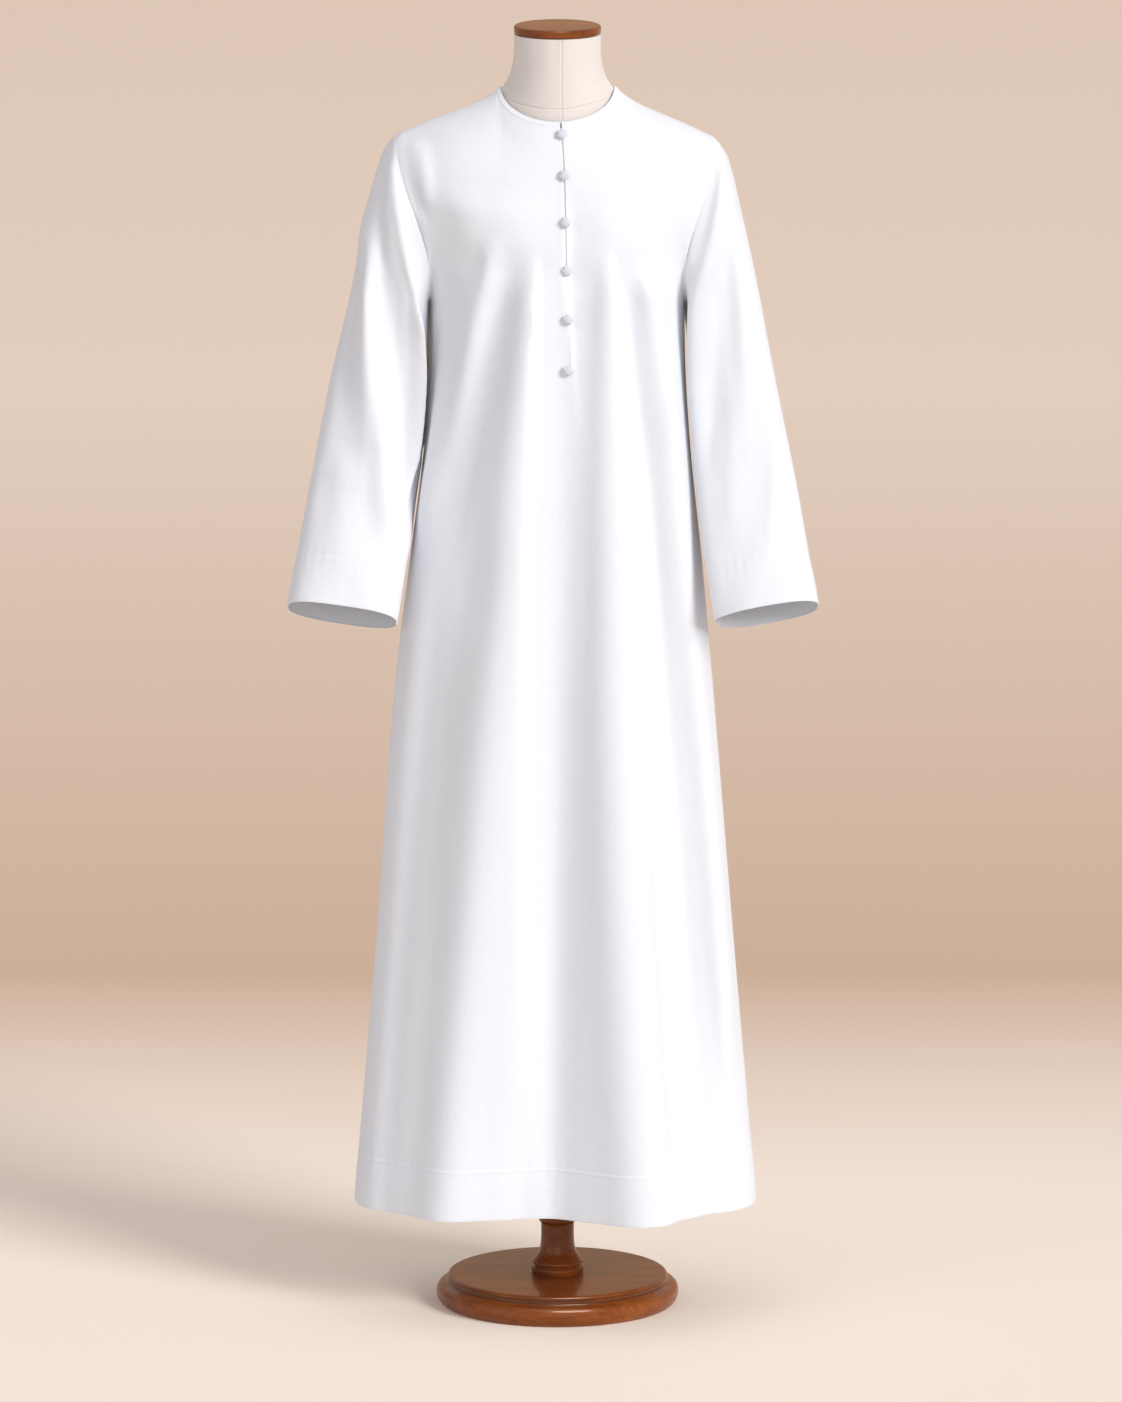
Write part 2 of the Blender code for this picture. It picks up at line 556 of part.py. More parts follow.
def sleeve_grid(shares, angles, side):
    """Outer points and directions out of a sleeve, its first ring moved on from the armhole's edge."""
    share = shares[:, None] + 0 * angles[None, :]
    angle = angles[None, :] + 0 * share
    points = sleeve_point(share, angle, side)
    sign = SIDE_SIGN[side]
    out = -sign * normals(points, wrap=True)
    points = points + out * sleeve_rise(share, angle, side)[..., None]
    out = -sign * normals(points, wrap=True)
    rise = (1 - np.cos(angles)) / 2
    points[0] += SLEEVE_SEAM * into_armhole(angles, side)
    points[0, :, 0] += sign * UNDERARM_CLEAR * (1 - rise) ** 6
    return points, out


def make_sleeve(side):
    turn = 1 - HEM_TURN / SLEEVE_LENGTH
    shares = np.array(SLEEVE_ROWS + (turn - FOLD_STEP / SLEEVE_LENGTH, turn, 1.0))
    angles = np.arange(2 * PANEL_UPPER_ROWS) * math.pi / PANEL_UPPER_ROWS
    points, out = sleeve_grid(shares, angles, side)
    thick = np.where(shares > turn - 1e-6, 2 * CLOTH, CLOTH)[:, None, None]
    wall("sleeve_" + side, points, points - out * thick, "white cotton", wrap=True)


def neck_loop(neck):
    """Points once round a neckline at the panels' columns, from one edge of the slit to the other."""
    front, back = (panel_columns(face) for face in ("front", "back"))
    front = front[np.abs(front) <= NECK_SHARE + 1e-9]
    back = back[np.abs(back) <= NECK_SHARE + 1e-9][-2:0:-1]
    front = front + np.clip(1 - np.abs(front) / NECK_SHARE, 0, 1) * slit_shares()[1]
    middle = len(front) // 2
    stretches = ((front[middle:], "front"), (back, "back"), (front[:middle], "front"))
    return np.concatenate([top_edge(columns, face, neck) for columns, face in stretches])


def make_binding():
    """A narrow band that stands on the panels' neck edge, open at the slit."""
    low = neck_loop(PANEL_NECK)
    width = neck_loop(BINDING_NECK) - low
    along = np.gradient(low, axis=0)
    out = np.cross(along, width)
    out /= np.linalg.norm(out, axis=-1, keepdims=True)
    low = low + width / np.linalg.norm(width, axis=-1, keepdims=True) * BINDING_SEAT
    rings = [low + width * share + out * BINDING_HALF * rise for share, rise in BINDING_SECTION]
    ring = np.stack(rings, 1)
    count, sides = ring.shape[:2]
    faces = []
    for k in range(count - 1):
        for i in range(sides):
            j = (i + 1) % sides
            faces.append((k * sides + i, k * sides + j, (k + 1) * sides + j, (k + 1) * sides + i))
    faces.append(tuple(reversed(range(sides))))
    faces.append(tuple(range((count - 1) * sides, count * sides)))
    body_from("neck_binding", ring.reshape(-1, 3), faces, "white cotton")


def chest_at(height):
    """The front's outer point and direction out where the slit crosses a height."""
    near = 0.02
    lower = np.linspace(BUTTON_HEIGHTS[-1] - near, ARMPIT_Z, 120)
    grid = panel_grid(np.array([-near, 0.0, near]), lower, np.linspace(0, 1, 200), "front")
    grid = np.delete(grid, len(lower), axis=0)
    out = normals(grid, wrap=False)
    order = grid[:, 1, 2]
    point = np.array([np.interp(height, order, grid[:, 1, k]) for k in range(3)])
    direction = np.array([np.interp(height, order, out[:, 1, k]) for k in range(3)])
    return point, direction / np.linalg.norm(direction)


def make_button(number, height):
    """A fabric-covered dome on the placket."""
    point, out = chest_at(height)
    side = np.cross(out, (0.0, 0.0, 1.0))
    side /= np.linalg.norm(side)
    up = np.cross(side, out)
    sides = BUTTON_SIDES
    vertices = []
    for radius, rise in BUTTON_PROFILE:
        for k in range(sides):
            a = 2 * math.pi * k / sides
            reach = BUTTON_RADIUS * radius * (math.cos(a) * side + math.sin(a) * up)
            vertices.append(point + out * (BUTTON_SEAT + BUTTON_RISE * rise) + reach)
    crown = len(vertices)
    vertices.append(point + out * (BUTTON_SEAT + BUTTON_RISE))
    faces = [tuple(reversed(range(sides)))]
    for r in range(len(BUTTON_PROFILE) - 1):
        for k in range(sides):
            j = (k + 1) % sides
            faces.append((r * sides + k, r * sides + j, (r + 1) * sides + j, (r + 1) * sides + k))
    last = (len(BUTTON_PROFILE) - 1) * sides
    faces += [(last + k, last + (k + 1) % sides, crown) for k in range(sides)]
    body_from(f"button_{number}", vertices, faces, "white cotton")


def form_ring(u, v, face):
    """The form's surface above the armpits: the robe's, moved in by the cloth and its clearance."""
    points, _, _ = yoke(u, v, face, FORM_NECK)
    below, _, _ = oval(u[:1], ARMPIT_Z - 0.02 + 0 * u[:1], face, BODY, BODY_COLUMNS)
    out = normals(np.concatenate([below, points]), wrap=False)[1:] * (1 if face == "front" else -1)
    out[0, [0, -1], 1] = 0
    shoulder = np.abs(u[0]) >= NECK_SHARE - 1e-9
    out[-1, shoulder, 1] = 0
    out /= np.linalg.norm(out, axis=-1, keepdims=True)
    clear = FORM_CLEAR_SHOULDER + (FORM_CLEAR_CHEST - FORM_CLEAR_SHOULDER) * (1 - v) ** FORM_CLEAR_POWER
    clear += FORM_CLEAR_NECK * ease(0.5 + (NECK_SHARE - np.abs(u)) / (2 * NECK_CLEAR_BLEND))
    return points - out * (CLOTH + clear)[..., None]


def make_form():
    """Torso and neck in one closed body: ovals up to the chest, the yoke's rings, then the neck's."""
    columns = panel_columns("back")
    heights = np.array(FORM_ROWS)
    u = columns[None, :] + 0 * heights[:, None]
    z = heights[:, None] + 0 * u
    v = panel_rows()[1][:, None] + 0 * columns[None, :]
    loops = []
    for face in ("front", "back"):
        low, _, _ = oval(u, z, face, FORM, BODY_COLUMNS)
        high = form_ring(columns[None, :] + 0 * v, v, face)
        loops.append(np.concatenate([low, high]))
    front, back = loops
    shoulder = np.abs(columns) >= NECK_SHARE - 1e-9
    ridge = (front[-1, shoulder] + back[-1, shoulder]) / 2 * (1, 0, 1)
    front[-1, shoulder] = ridge
    back[-1, shoulder] = ridge
    ring = np.concatenate([front, back[:, ::-1]], axis=1)
    rows, count = ring.shape[:2]
    vertices = [tuple(p) for p in ring.reshape(-1, 3)]
    faces = [tuple(reversed(range(count)))]
    for r in range(rows - 1):
        for k in range(count):
            j = (k + 1) % count
            faces.append((r * count + k, r * count + j, (r + 1) * count + j, (r + 1) * count + k))
    near = [k for k in range(len(columns)) if abs(columns[k]) <= NECK_SHARE + 1e-9]
    top = (rows - 1) * count
    loop = [top + k for k in near] + [top + count - 1 - k for k in reversed(near[1:-1])]
    start = np.array([vertices[k] for k in loop])
    radius = np.hypot(start[:, 0], start[:, 1])
    previous = loop
    for step in NECK_STEPS:
        size = NECK_TOP_RADIUS + (radius - NECK_TOP_RADIUS) * (1 - step) ** NECK_FLARE
        level = start[:, 2] + (NECK_TOP_Z - start[:, 2]) * step
        ring_points = np.stack([start[:, 0] / radius * size, start[:, 1] / radius * size, level], -1)
        first = len(vertices)
        vertices += [tuple(p) for p in ring_points]
        current = list(range(first, first + len(loop)))
        for k in range(len(loop)):
            j = (k + 1) % len(loop)
            faces.append((previous[k], previous[j], current[j], current[k]))
        previous = current
    faces.append(tuple(previous))
    body_from("form_body", vertices, faces, "natural linen")


def make_stand():
    """The cap on the neck, the post under the torso, its turned foot and the round base."""
    low = NECK_TOP_Z + SEAM_GAP
    high = low + CAP_HEIGHT
    bend = [(math.sin(math.radians(a)), math.cos(math.radians(a))) for a in CAP_BEND]
    rim = CAP_RADIUS - CAP_ROUND
    cap = [(rim + CAP_ROUND * s, high - CAP_ROUND + CAP_ROUND * c) for s, c in bend]
    cap += [(rim + CAP_ROUND * s, low + CAP_ROUND - CAP_ROUND * c) for s, c in reversed(bend)]
    turned("neck_cap", cap, CAP_SIDES, "varnished wood")
    post = ((POST_RADIUS, FORM_BOTTOM_Z - SEAM_GAP), (POST_RADIUS, FOOT_TOP_Z + SEAM_GAP))
    turned("post", post, POST_SIDES, "varnished wood")
    turned("post_foot", FOOT_PROFILE, FOOT_SIDES, "varnished wood")
    turned("base_plate", PLATE_PROFILE, PLATE_SIDES, "varnished wood")


def main():
    for old in list(bpy.data.objects):
        bpy.data.objects.remove(old)
    make_front()
    make_back()
    for side in SIDE_SIGN:
        make_sleeve(side)
    make_binding()
    make_underlap()
    for number, height in enumerate(BUTTON_HEIGHTS, 1):
        make_button(number, height)
    make_form()
    make_stand()


main()
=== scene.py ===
"""A white thobe worn by a limbless linen dress form that stands on a turned, varnished wooden foot.

Lengths are metres in the part's own frame: +Z up, the robe's front towards -Y, the wearer's left towards +X.
The robe is a front and a back panel and two sleeves, each a grid of points worked out by a formula. Folds and
creases move the points along the cloth's own normals, and a second layer gives the cloth its thickness.
"""
import math

import bpy
import numpy as np
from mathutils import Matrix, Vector


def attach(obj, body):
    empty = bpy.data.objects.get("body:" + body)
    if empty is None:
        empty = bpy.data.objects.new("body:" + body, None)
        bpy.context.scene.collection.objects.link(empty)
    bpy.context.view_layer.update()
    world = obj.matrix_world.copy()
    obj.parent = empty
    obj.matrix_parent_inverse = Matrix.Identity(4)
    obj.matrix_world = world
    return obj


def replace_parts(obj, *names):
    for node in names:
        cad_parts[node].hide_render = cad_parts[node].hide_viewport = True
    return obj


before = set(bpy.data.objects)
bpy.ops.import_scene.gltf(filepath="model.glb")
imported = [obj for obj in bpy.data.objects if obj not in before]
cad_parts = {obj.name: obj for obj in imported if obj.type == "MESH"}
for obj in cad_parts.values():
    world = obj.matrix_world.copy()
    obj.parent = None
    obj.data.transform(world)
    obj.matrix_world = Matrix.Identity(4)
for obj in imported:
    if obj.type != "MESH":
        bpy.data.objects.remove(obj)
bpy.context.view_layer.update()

# ---------------------------------------------------------------- sizes of the robe

THREAD = 0.0007  # one layer of cloth
HEM_TURN = 0.060  # the turned hem and cuffs, two layers
HEM_Z = 0.137
ARMPIT_Z = 1.3318
CHEST_HALF = 0.1645
NECK_SHARE = 0.36  # the neckline takes this share of half a panel's width, the shoulder seam the rest
SHOULDER_SAG = 0.0055
ARMHOLE_DEPTH = 0.060
SHOULDER_TIP = {"left": (0.2045, 1.5440), "right": (0.2090, 1.5485)}
JOIN_GAP = 0.0003  # between pieces that meet
YOKE_BLEND = 0.05  # how far apart, as a share of the half width, the arcs above the armpits are blended

# The plain body at each height: an oval with its own front and back depth
BODY_COLUMNS = ("height", "half_width", "middle", "front", "back", "squareness")
BODY = (
    (0.137, 0.2638, -0.0028, 0.1400, 0.1430, 2.25),
    (0.480, 0.2343, -0.0034, 0.1300, 0.1320, 2.20),
    (0.880, 0.2020, -0.0042, 0.1200, 0.1190, 2.12),
    (1.000, 0.1890, -0.0018, 0.1180, 0.1150, 2.08),
    (1.130, 0.1738, -0.0004, 0.1170, 0.1120, 2.04),
    (1.245, 0.1652, 0.0008, 0.1175, 0.1110, 2.00),
    (1.332, 0.1645, 0.0000, 0.1175, 0.1100, 2.00),
)

# Lengthwise folds: where each one lies, as a share of the half width, and how far it stands out or in
FOLD_COLUMNS = ("face", "at_chest", "at_hip", "at_hem", "half_width", "chest", "hip", "hem")
FOLD_HEIGHTS = (HEM_Z, 0.880, 1.300)
FOLD_TOP = 1.420
FOLDS = {
    "long ridge, right side": ("front", -0.25, -0.39, -0.545, 0.150, 0.0030, 0.0100, 0.0150),
    "long ridge, left side": ("front", 0.38, 0.37, 0.425, 0.150, 0.0035, 0.0105, 0.0190),
    "middle trough": ("front", 0.05, 0.03, -0.035, 0.170, -0.0040, -0.0100, -0.0240),
    "trough by the left side": ("front", 0.58, 0.70, 0.785, 0.100, -0.0055, -0.0115, -0.0150),
    "trough by the right side": ("front", -0.44, -0.66, -0.760, 0.110, -0.0030, -0.0045, -0.0060),
    "short ridge, right side": ("front", -0.68, -0.95, -0.985, 0.090, 0.0045, 0.0045, 0.0050),
    "back ridge, right side": ("back", -0.52, -0.50, -0.560, 0.150, 0.0020, 0.0090, 0.0150),
    "back ridge, middle": ("back", -0.06, -0.08, -0.060, 0.160, 0.0010, 0.0070, 0.0150),
    "back ridge, left side": ("back", 0.46, 0.42, 0.480, 0.150, 0.0020, 0.0090, 0.0160),
    "back trough, right": ("back", -0.28, -0.30, -0.320, 0.120, -0.0020, -0.0070, -0.0120),
    "back trough, left": ("back", 0.18, 0.18, 0.220, 0.130, -0.0020, -0.0070, -0.0120),
    "back trough by the left side": ("back", 0.72, 0.76, 0.800, 0.110, -0.0010, -0.0050, -0.0080),
}

# Necklines: half width, depth to the front and back, height at the shoulder, drop to the front and back
NECK_COLUMNS = ("half_width", "front", "back", "height", "front_drop", "back_drop")
PANEL_NECK = (0.0785, 0.0695, 0.0720, 1.6085, 0.0385, 0.0180)
BINDING_NECK = (0.0735, 0.0640, 0.0660, 1.6115, 0.0370, 0.0165)
FORM_NECK = (0.0725, 0.0630, 0.0650, 1.6110, 0.0390, 0.0185)
# How far a column leans in at its top, in degrees: level on the shoulder, steeper at the neck
LEAN_PLACES = (0.0, 0.18, 0.30, 0.36, 0.46, 0.60, 1.0)
COLUMN_LEAN = {"front": (62, 66, 73, 78, 85, 90, 90), "back": (72, 74, 77, 80, 86, 90, 90)}

# The front slit, its underlap and the buttons
SLIT_X_TOP = 0.0046
SLIT_X_CHEST = 0.0136
SLIT_END_Z = 1.380
BINDING_HALF = 0.00108  # half of the band's thickness
UNDERLAP_HALF = 0.013
UNDERLAP_FROM, UNDERLAP_TO = 0.155, 0.985  # shares of the way from the armpits' height to the neckline
BUTTON_HEIGHTS = (1.5595, 1.5096, 1.4508, 1.3886, 1.3253, 1.2587)
BUTTON_RADIUS = 0.0068
BUTTON_RISE = 0.0052

# Sleeves: the outer and inner edge as seen from the front, the middle's y, the half depth, the tilt forwards
SLEEVE_COLUMNS = ("share", "outer_x", "outer_z", "inner_x", "inner_z", "middle_y", "half_depth", "tilt")
SLEEVES = {
    "left": (
        (0.00, 0.2045, 1.5440, 0.1645, 1.3318, 0.000, 0.0600, 0),
        (0.04, 0.2190, 1.5210, 0.1672, 1.3294, 0.000, 0.0615, 0),
        (0.08, 0.2262, 1.4985, 0.1674, 1.3246, 0.000, 0.0630, 0),
        (0.15, 0.2365, 1.4550, 0.1678, 1.3120, 0.000, 0.0640, 0),
        (0.30, 0.2575, 1.3600, 0.1680, 1.2717, -0.001, 0.0630, 2),
        (0.45, 0.2750, 1.2680, 0.1690, 1.2170, -0.005, 0.0600, 6),
        (0.60, 0.2930, 1.1780, 0.1745, 1.1500, -0.014, 0.0570, 11),
        (0.75, 0.3110, 1.0900, 0.1838, 1.0720, -0.033, 0.0530, 16),
        (0.90, 0.3270, 1.0020, 0.1945, 0.9820, -0.062, 0.0500, 21),
        (1.00, 0.3387, 0.9435, 0.2033, 0.9205, -0.086, 0.0480, 24),
    ),
    "right": (
        (0.00, 0.2090, 1.5485, 0.1645, 1.3318, 0.000, 0.0600, 0),
        (0.04, 0.2253, 1.5295, 0.1672, 1.3294, 0.000, 0.0615, 0),
        (0.08, 0.2338, 1.5060, 0.1674, 1.3246, 0.000, 0.0630, 0),
        (0.15, 0.2465, 1.4630, 0.1678, 1.3120, 0.000, 0.0640, 0),
        (0.30, 0.2668, 1.3710, 0.1680, 1.2717, -0.001, 0.0630, 2),
        (0.45, 0.2855, 1.2790, 0.1690, 1.2170, -0.005, 0.0600, 6),
        (0.60, 0.3035, 1.1890, 0.1745, 1.1500, -0.014, 0.0570, 11),
        (0.75, 0.3205, 1.0980, 0.1865, 1.0720, -0.033, 0.0530, 16),
        (0.90, 0.3385, 1.0030, 0.1975, 0.9820, -0.062, 0.0500, 21),
        (1.00, 0.3503, 0.9422, 0.2073, 0.9205, -0.086, 0.0480, 24),
    ),
}
SLEEVE_SQUARENESS = 2.6  # a hanging sleeve is flatter in front and behind than an oval

# Sleeve folds: angle round the sleeve at the top and the cuff (0 inner, 90 front, 180 outer, 270 back). The
# first six rows of each were adjusted by a least-squares fit, and the last two, at the back, are given one by
# one.
SLEEVE_FOLD_COLUMNS = ("top_angle", "cuff_angle", "half_angle", "from_share", "to_share", "height")
SLEEVE_FOLDS = {
    "left": (
        (129, 55, 30, 0.08, 0.87, -0.0088),
        (141, 57, 15, 0.08, 0.90, 0.0056),
        (114, 16, 18, 0.08, 0.84, -0.0040),
        (51, 10, 17, 0.00, 1.13, 0.0140),
        (146, 84, 11, 0.54, 0.96, 0.0040),
        (68, 21, 19, 0.54, 1.06, 0.0048),
        (225, 280, 22, 0.22, 0.90, -0.0045),
        (280, 320, 20, 0.25, 0.95, 0.0030),
    ),
    "right": (
        (133, 45, 15, 0.14, 0.98, 0.0140),
        (179, 99, 30, 0.20, 0.92, -0.0120),
        (174, 65, 24, 0.42, 1.03, 0.0046),
        (63, 20, 8, 0.08, 0.81, 0.0170),
        (136, 12, 28, 0.02, 0.88, -0.0120),
        (113, 51, 29, 0.66, 1.05, 0.0060),
        (235, 285, 22, 0.22, 0.90, -0.0045),
        (290, 325, 20, 0.25, 0.95, 0.0030),
    ),
}

# The dress form: ovals up to the chest, in BODY_COLUMNS, and the robe's own shape less a clearance above
FORM_BOTTOM_Z = 0.822
FORM = (
    (FORM_BOTTOM_Z, 0.1480, 0.0, 0.0880, 0.0930, 2.3),
    (0.832, 0.1600, 0.0, 0.0970, 0.1020, 2.3),
    (0.900, 0.1620, 0.0, 0.0980, 0.1040, 2.2),
    (1.060, 0.1440, 0.0, 0.0920, 0.0900, 2.1),
    (1.200, 0.1510, 0.0, 0.1020, 0.0960, 2.0),
    (1.332, 0.1570, 0.0, 0.1075, 0.1000, 2.0),
)
FORM_CLEAR_SHOULDER = 0.00035
FORM_CLEAR_CHEST = 0.0070
FORM_CLEAR_NECK = 0.0016
FORM_CLEAR_POWER = 1.6  # the clearance closes this fast from the chest to the shoulder
NECK_CLEAR_BLEND = 0.06  # half of the share over which the neck's own clearance ends
NECK_TOP_Z = 1.6800
NECK_TOP_RADIUS = 0.0560
NECK_FLARE = 3.6  # how sharply the neck turns out into the shoulders

# Turned wood, as (radius, height) down the outside, from the top
CAP_RADIUS = 0.0563
CAP_HEIGHT = 0.0110
CAP_ROUND = 0.0032
CAP_LAND, PLATE_LAND = 0.004, 0.003  # a ring this far in from each flat face's edge keeps its shading flat
POST_RADIUS = 0.0160
PLATE_TOP_Z = 0.0377
FOOT_TOP_Z = 0.1165
FOOT_PROFILE = (
    (0.0225, FOOT_TOP_Z),
    (0.0243, 0.1150),
    (0.0248, 0.1115),
    (0.0243, 0.1080),
    (0.0222, 0.1055),
    (0.0217, 0.0980),
    (0.0217, 0.0850),
    (0.0226, 0.0745),
    (0.0258, 0.0640),
    (0.0312, 0.0565),
    (0.0333, 0.0535),
    (0.0333, 0.0515),
    (0.0310, 0.0500),
    (0.0310, 0.0485),
    (0.0338, 0.0465),
    (0.0342, 0.0430),
    (0.0336, PLATE_TOP_Z + JOIN_GAP),
)
PLATE_PROFILE = (
    (0.1395, PLATE_TOP_Z),
    (0.1425, 0.0369),
    (0.1440, 0.0350),
    (0.1440, 0.0300),
    (0.1452, 0.0278),
    (0.1485, 0.0262),
    (0.1540, 0.0240),
    (0.1578, 0.0200),
    (0.1590, 0.0145),
    (0.1582, 0.0085),
    (0.1555, 0.0030),
    (0.1525, 0.0000),
)

FACE_SIGN = {"front": -1.0, "back": 1.0}
SIDE_SIGN = {"left": 1.0, "right": -1.0}

# ---------------------------------------------------------------- fineness of the meshes

STEP_ACROSS = 0.0140  # even columns of a panel, as a share of half its width
STEP_DOWN = 0.0062  # even rows of a panel below the armpits
UPPER_STEPS = 62  # even rows above the armpits
SLEEVE_AROUND = 140
SLEEVE_DOWN = 150
# Extra columns beside the slit (metres from it), at the side seams (shares) and rows round a stitched turn
BY_SLIT = (
    0.0008, 0.0010, 0.0013, 0.0018, 0.0023, 0.0026, 0.0031, 0.0041, 0.0051, 0.0056, 0.0060, 0.0068, 0.0085,
    0.0110, 0.0145,
)
BY_SEAM = (0.0035, 0.0080, 0.0140, 0.0230)
BY_TURN = (-0.0060, -0.0036, -0.0022, -0.0014, -0.0007, 0.0, 0.0007, 0.0014, 0.0024, 0.0036, 0.0056)
BY_EDGE = (0.0003, 0.0009, 0.0018, 0.0032)

# ---------------------------------------------------------------- sewing and relief

SEAM_DIP = 0.0008  # how far a seam sinks, over SEAM_REACH to each side
SEAM_REACH = 0.0026
SLIT_DIP = 0.0008
SLIT_REACH = 0.0011
TURN_RIDGE = {"hem": 0.00042, "cuff": 0.00010}  # the top of a turned hem shows as a low ridge
RIDGE_REACH = 0.0020
TURN_GROOVE = -0.00020  # with a shallow groove just above it
GROOVE_ABOVE, GROOVE_REACH = 0.0034, 0.0015
TURN_SWELL = 0.0006  # the turn itself stands out a little between its stitches and its edge
PUCKER = 0.00032  # small puckers along a stitched line
PUCKER_LENGTH = 0.013
PUCKER_REACH = 0.012
TAPE_MIDDLE, TAPE_HALF = 0.0041, 0.0015  # the placket's tape below the slit, to the wearer's left of its line
TAPE_RISE = 0.00065
TAPE_END_Z = 1.2540
RIPPLE = 0.00028  # faint unevenness of hanging cloth
# Its waves: radians a metre along X, Y and Z, and where each starts
RIPPLE_WAVES = (
    (31, 12, 17, 0.3), (-19, 41, 23, 1.7), (53, -27, 11, 4.1), (-37, -33, 47, 2.6), (83, 21, -39, 5.2),
)
SLEEVE_TUCK = 0.0030  # a sleeve's first ring goes this far in under the panel's edge
TUCK_DEPTH = 0.0014

# ---------------------------------------------------------------- creases

# A crease runs down between two heights along a smooth line through three places. It is a bell across that
# line, faded over a length at each end, or not at all where it runs off the hem. A lean above 0 makes its
# flank towards +X the wider one. A row gives two heights, three places and two widths, then three rises, two
# fades and the lean. The back's rows are given one by one. Most of the front's were adjusted by a
# least-squares fit in a scratch program, within limits on each value, and then rounded.
CREASES = {
    "front": {
        "slack under the right breast": (
            (1.5, 1.37), (-0.113, -0.105, -0.101), (0.05, 0.05),
            (0.0089, 0.0069, -0.008), (0.04, 0.05), 0.3,
        ),
        "short ridge, right breast": (
            (1.44, 0.96), (-0.077, -0.133, -0.196), (0.015, 0.012),
            (0.0126, 0.0049, 0.013), (0.06, 0.15), 0.0,
        ),
        "trough inside the short ridge": (
            (1.43, 0.96), (-0.062, -0.076, -0.125), (0.022, 0.031),
            (-0.0054, 0.0065, 0.013), (0.06, 0.15), 0.4,
        ),
        "trough outside the short ridge": (
            (1.4, 1.0), (-0.145, -0.153, -0.179), (0.012, 0.008),
            (-0.008, 0.006, 0.005), (0.07, 0.12), 0.2,
        ),
        "long ridge by the right side": (
            (1.06, 0.15), (-0.143, -0.194, -0.23), (0.027, 0.019),
            (-0.008, -0.008, -0.0055), (0.18, 0), 0.1,
        ),
        "trough by the slit": (
            (1.5, 1.34), (0.027, 0.023, 0.025), (0.023, 0.017),
            (-0.005, -0.0055, -0.0038), (0.06, 0.06), 0.6,
        ),
        "face under the slit": (
            (1.42, 0.85), (0.0145, 0.0367, 0.0393), (0.0172, 0.0094),
            (-0.008, 0.0, -0.0048), (0.06, 0.25), 0.6,
        ),
        "face left of the middle": (
            (1.42, 0.145), (0.0659, 0.0843, 0.13), (0.0087, 0.0423),
            (0.0116, 0.013, 0.013), (0.06, 0), -0.5,
        ),
        "small trough, left side": (
            (1.4, 0.2), (0.0755, 0.1433, 0.1584), (0.0081, 0.0172),
            (-0.008, -0.0074, -0.008), (0.05, 0.25), 0.45,
        ),
        "small ridge, left side": (
            (1.4, 0.2), (0.1097, 0.1794, 0.2261), (0.0158, 0.0117),
            (0.013, 0.013, 0.013), (0.05, 0.25), 0.2,
        ),
        "slack over the left breast": (
            (1.48, 1.37), (0.083, 0.091, 0.091), (0.042, 0.043),
            (0.006, 0.007, 0.0037), (0.045, 0.055), -0.25,
        ),
        "dent by the right armhole": (
            (1.555, 1.44), (-0.1828, -0.1856, -0.1648), (0.0157, 0.008),
            (0.0012, -0.0005, -0.008), (0.02, 0.04), -0.45,
        ),
        "ridge by that dent": (
            (1.555, 1.44), (-0.1805, -0.1697, -0.1675), (0.0157, 0.008),
            (0.0008, 0.0042, -0.008), (0.02, 0.04), -0.2,
        ),
        "long ridge, right side": (
            (1.42, 0.14), (-0.0271, -0.0572, -0.0554), (0.0104, 0.0467),
            (0.013, 0.013, -0.008), (0.08, 0), -0.6,
        ),
        "long ridge, left side": (
            (1.42, 0.14), (0.1069, 0.0943, 0.1137), (0.05, 0.05),
            (0.0031, 0.013, 0.013), (0.08, 0), -0.6,
        ),
        "face by the left side": (
            (1.3, 0.14), (0.1283, 0.1588, 0.1955), (0.014, 0.0236),
            (0.013, 0.0004, -0.008), (0.12, 0), -0.1,
        ),
        "fullness by the left hem corner": (
            (0.55, 0.14), (0.178, 0.186, 0.192), (0.024, 0.03),
            (0.0, 0.005, 0.015), (0.2, 0), 0.0,
        ),
    },
    "back": {
        "back ridge from the right shoulder": (
            (1.43, 0.14), (-0.06, -0.085, -0.11), (0.014, 0.034),
            (0.004, 0.0075, 0.006), (0.12, 0), 0.3,
        ),
        "back trough beside it": (
            (1.4, 0.16), (-0.1, -0.135, -0.165), (0.016, 0.026),
            (-0.003, -0.006, -0.004), (0.16, 0), 0.0,
        ),
        "back trough, middle": (
            (1.36, 0.15), (-0.006, -0.014, -0.02), (0.02, 0.034),
            (-0.002, -0.006, -0.006), (0.2, 0), 0.2,
        ),
        "back ridge from the left shoulder": (
            (1.44, 0.14), (0.058, 0.078, 0.092), (0.014, 0.036),
            (0.004, 0.008, 0.007), (0.12, 0), -0.3,
        ),
        "back trough, left": (
            (1.38, 0.16), (0.105, 0.14, 0.172), (0.015, 0.026),
            (-0.003, -0.006, -0.004), (0.16, 0), 0.0,
        ),
        "slack across the back": (
            (1.48, 1.39), (-0.02, 0.01, 0.03), (0.08, 0.08),
            (0.003, 0.004, 0.002), (0.04, 0.05), 0.0,
        ),
    },
}
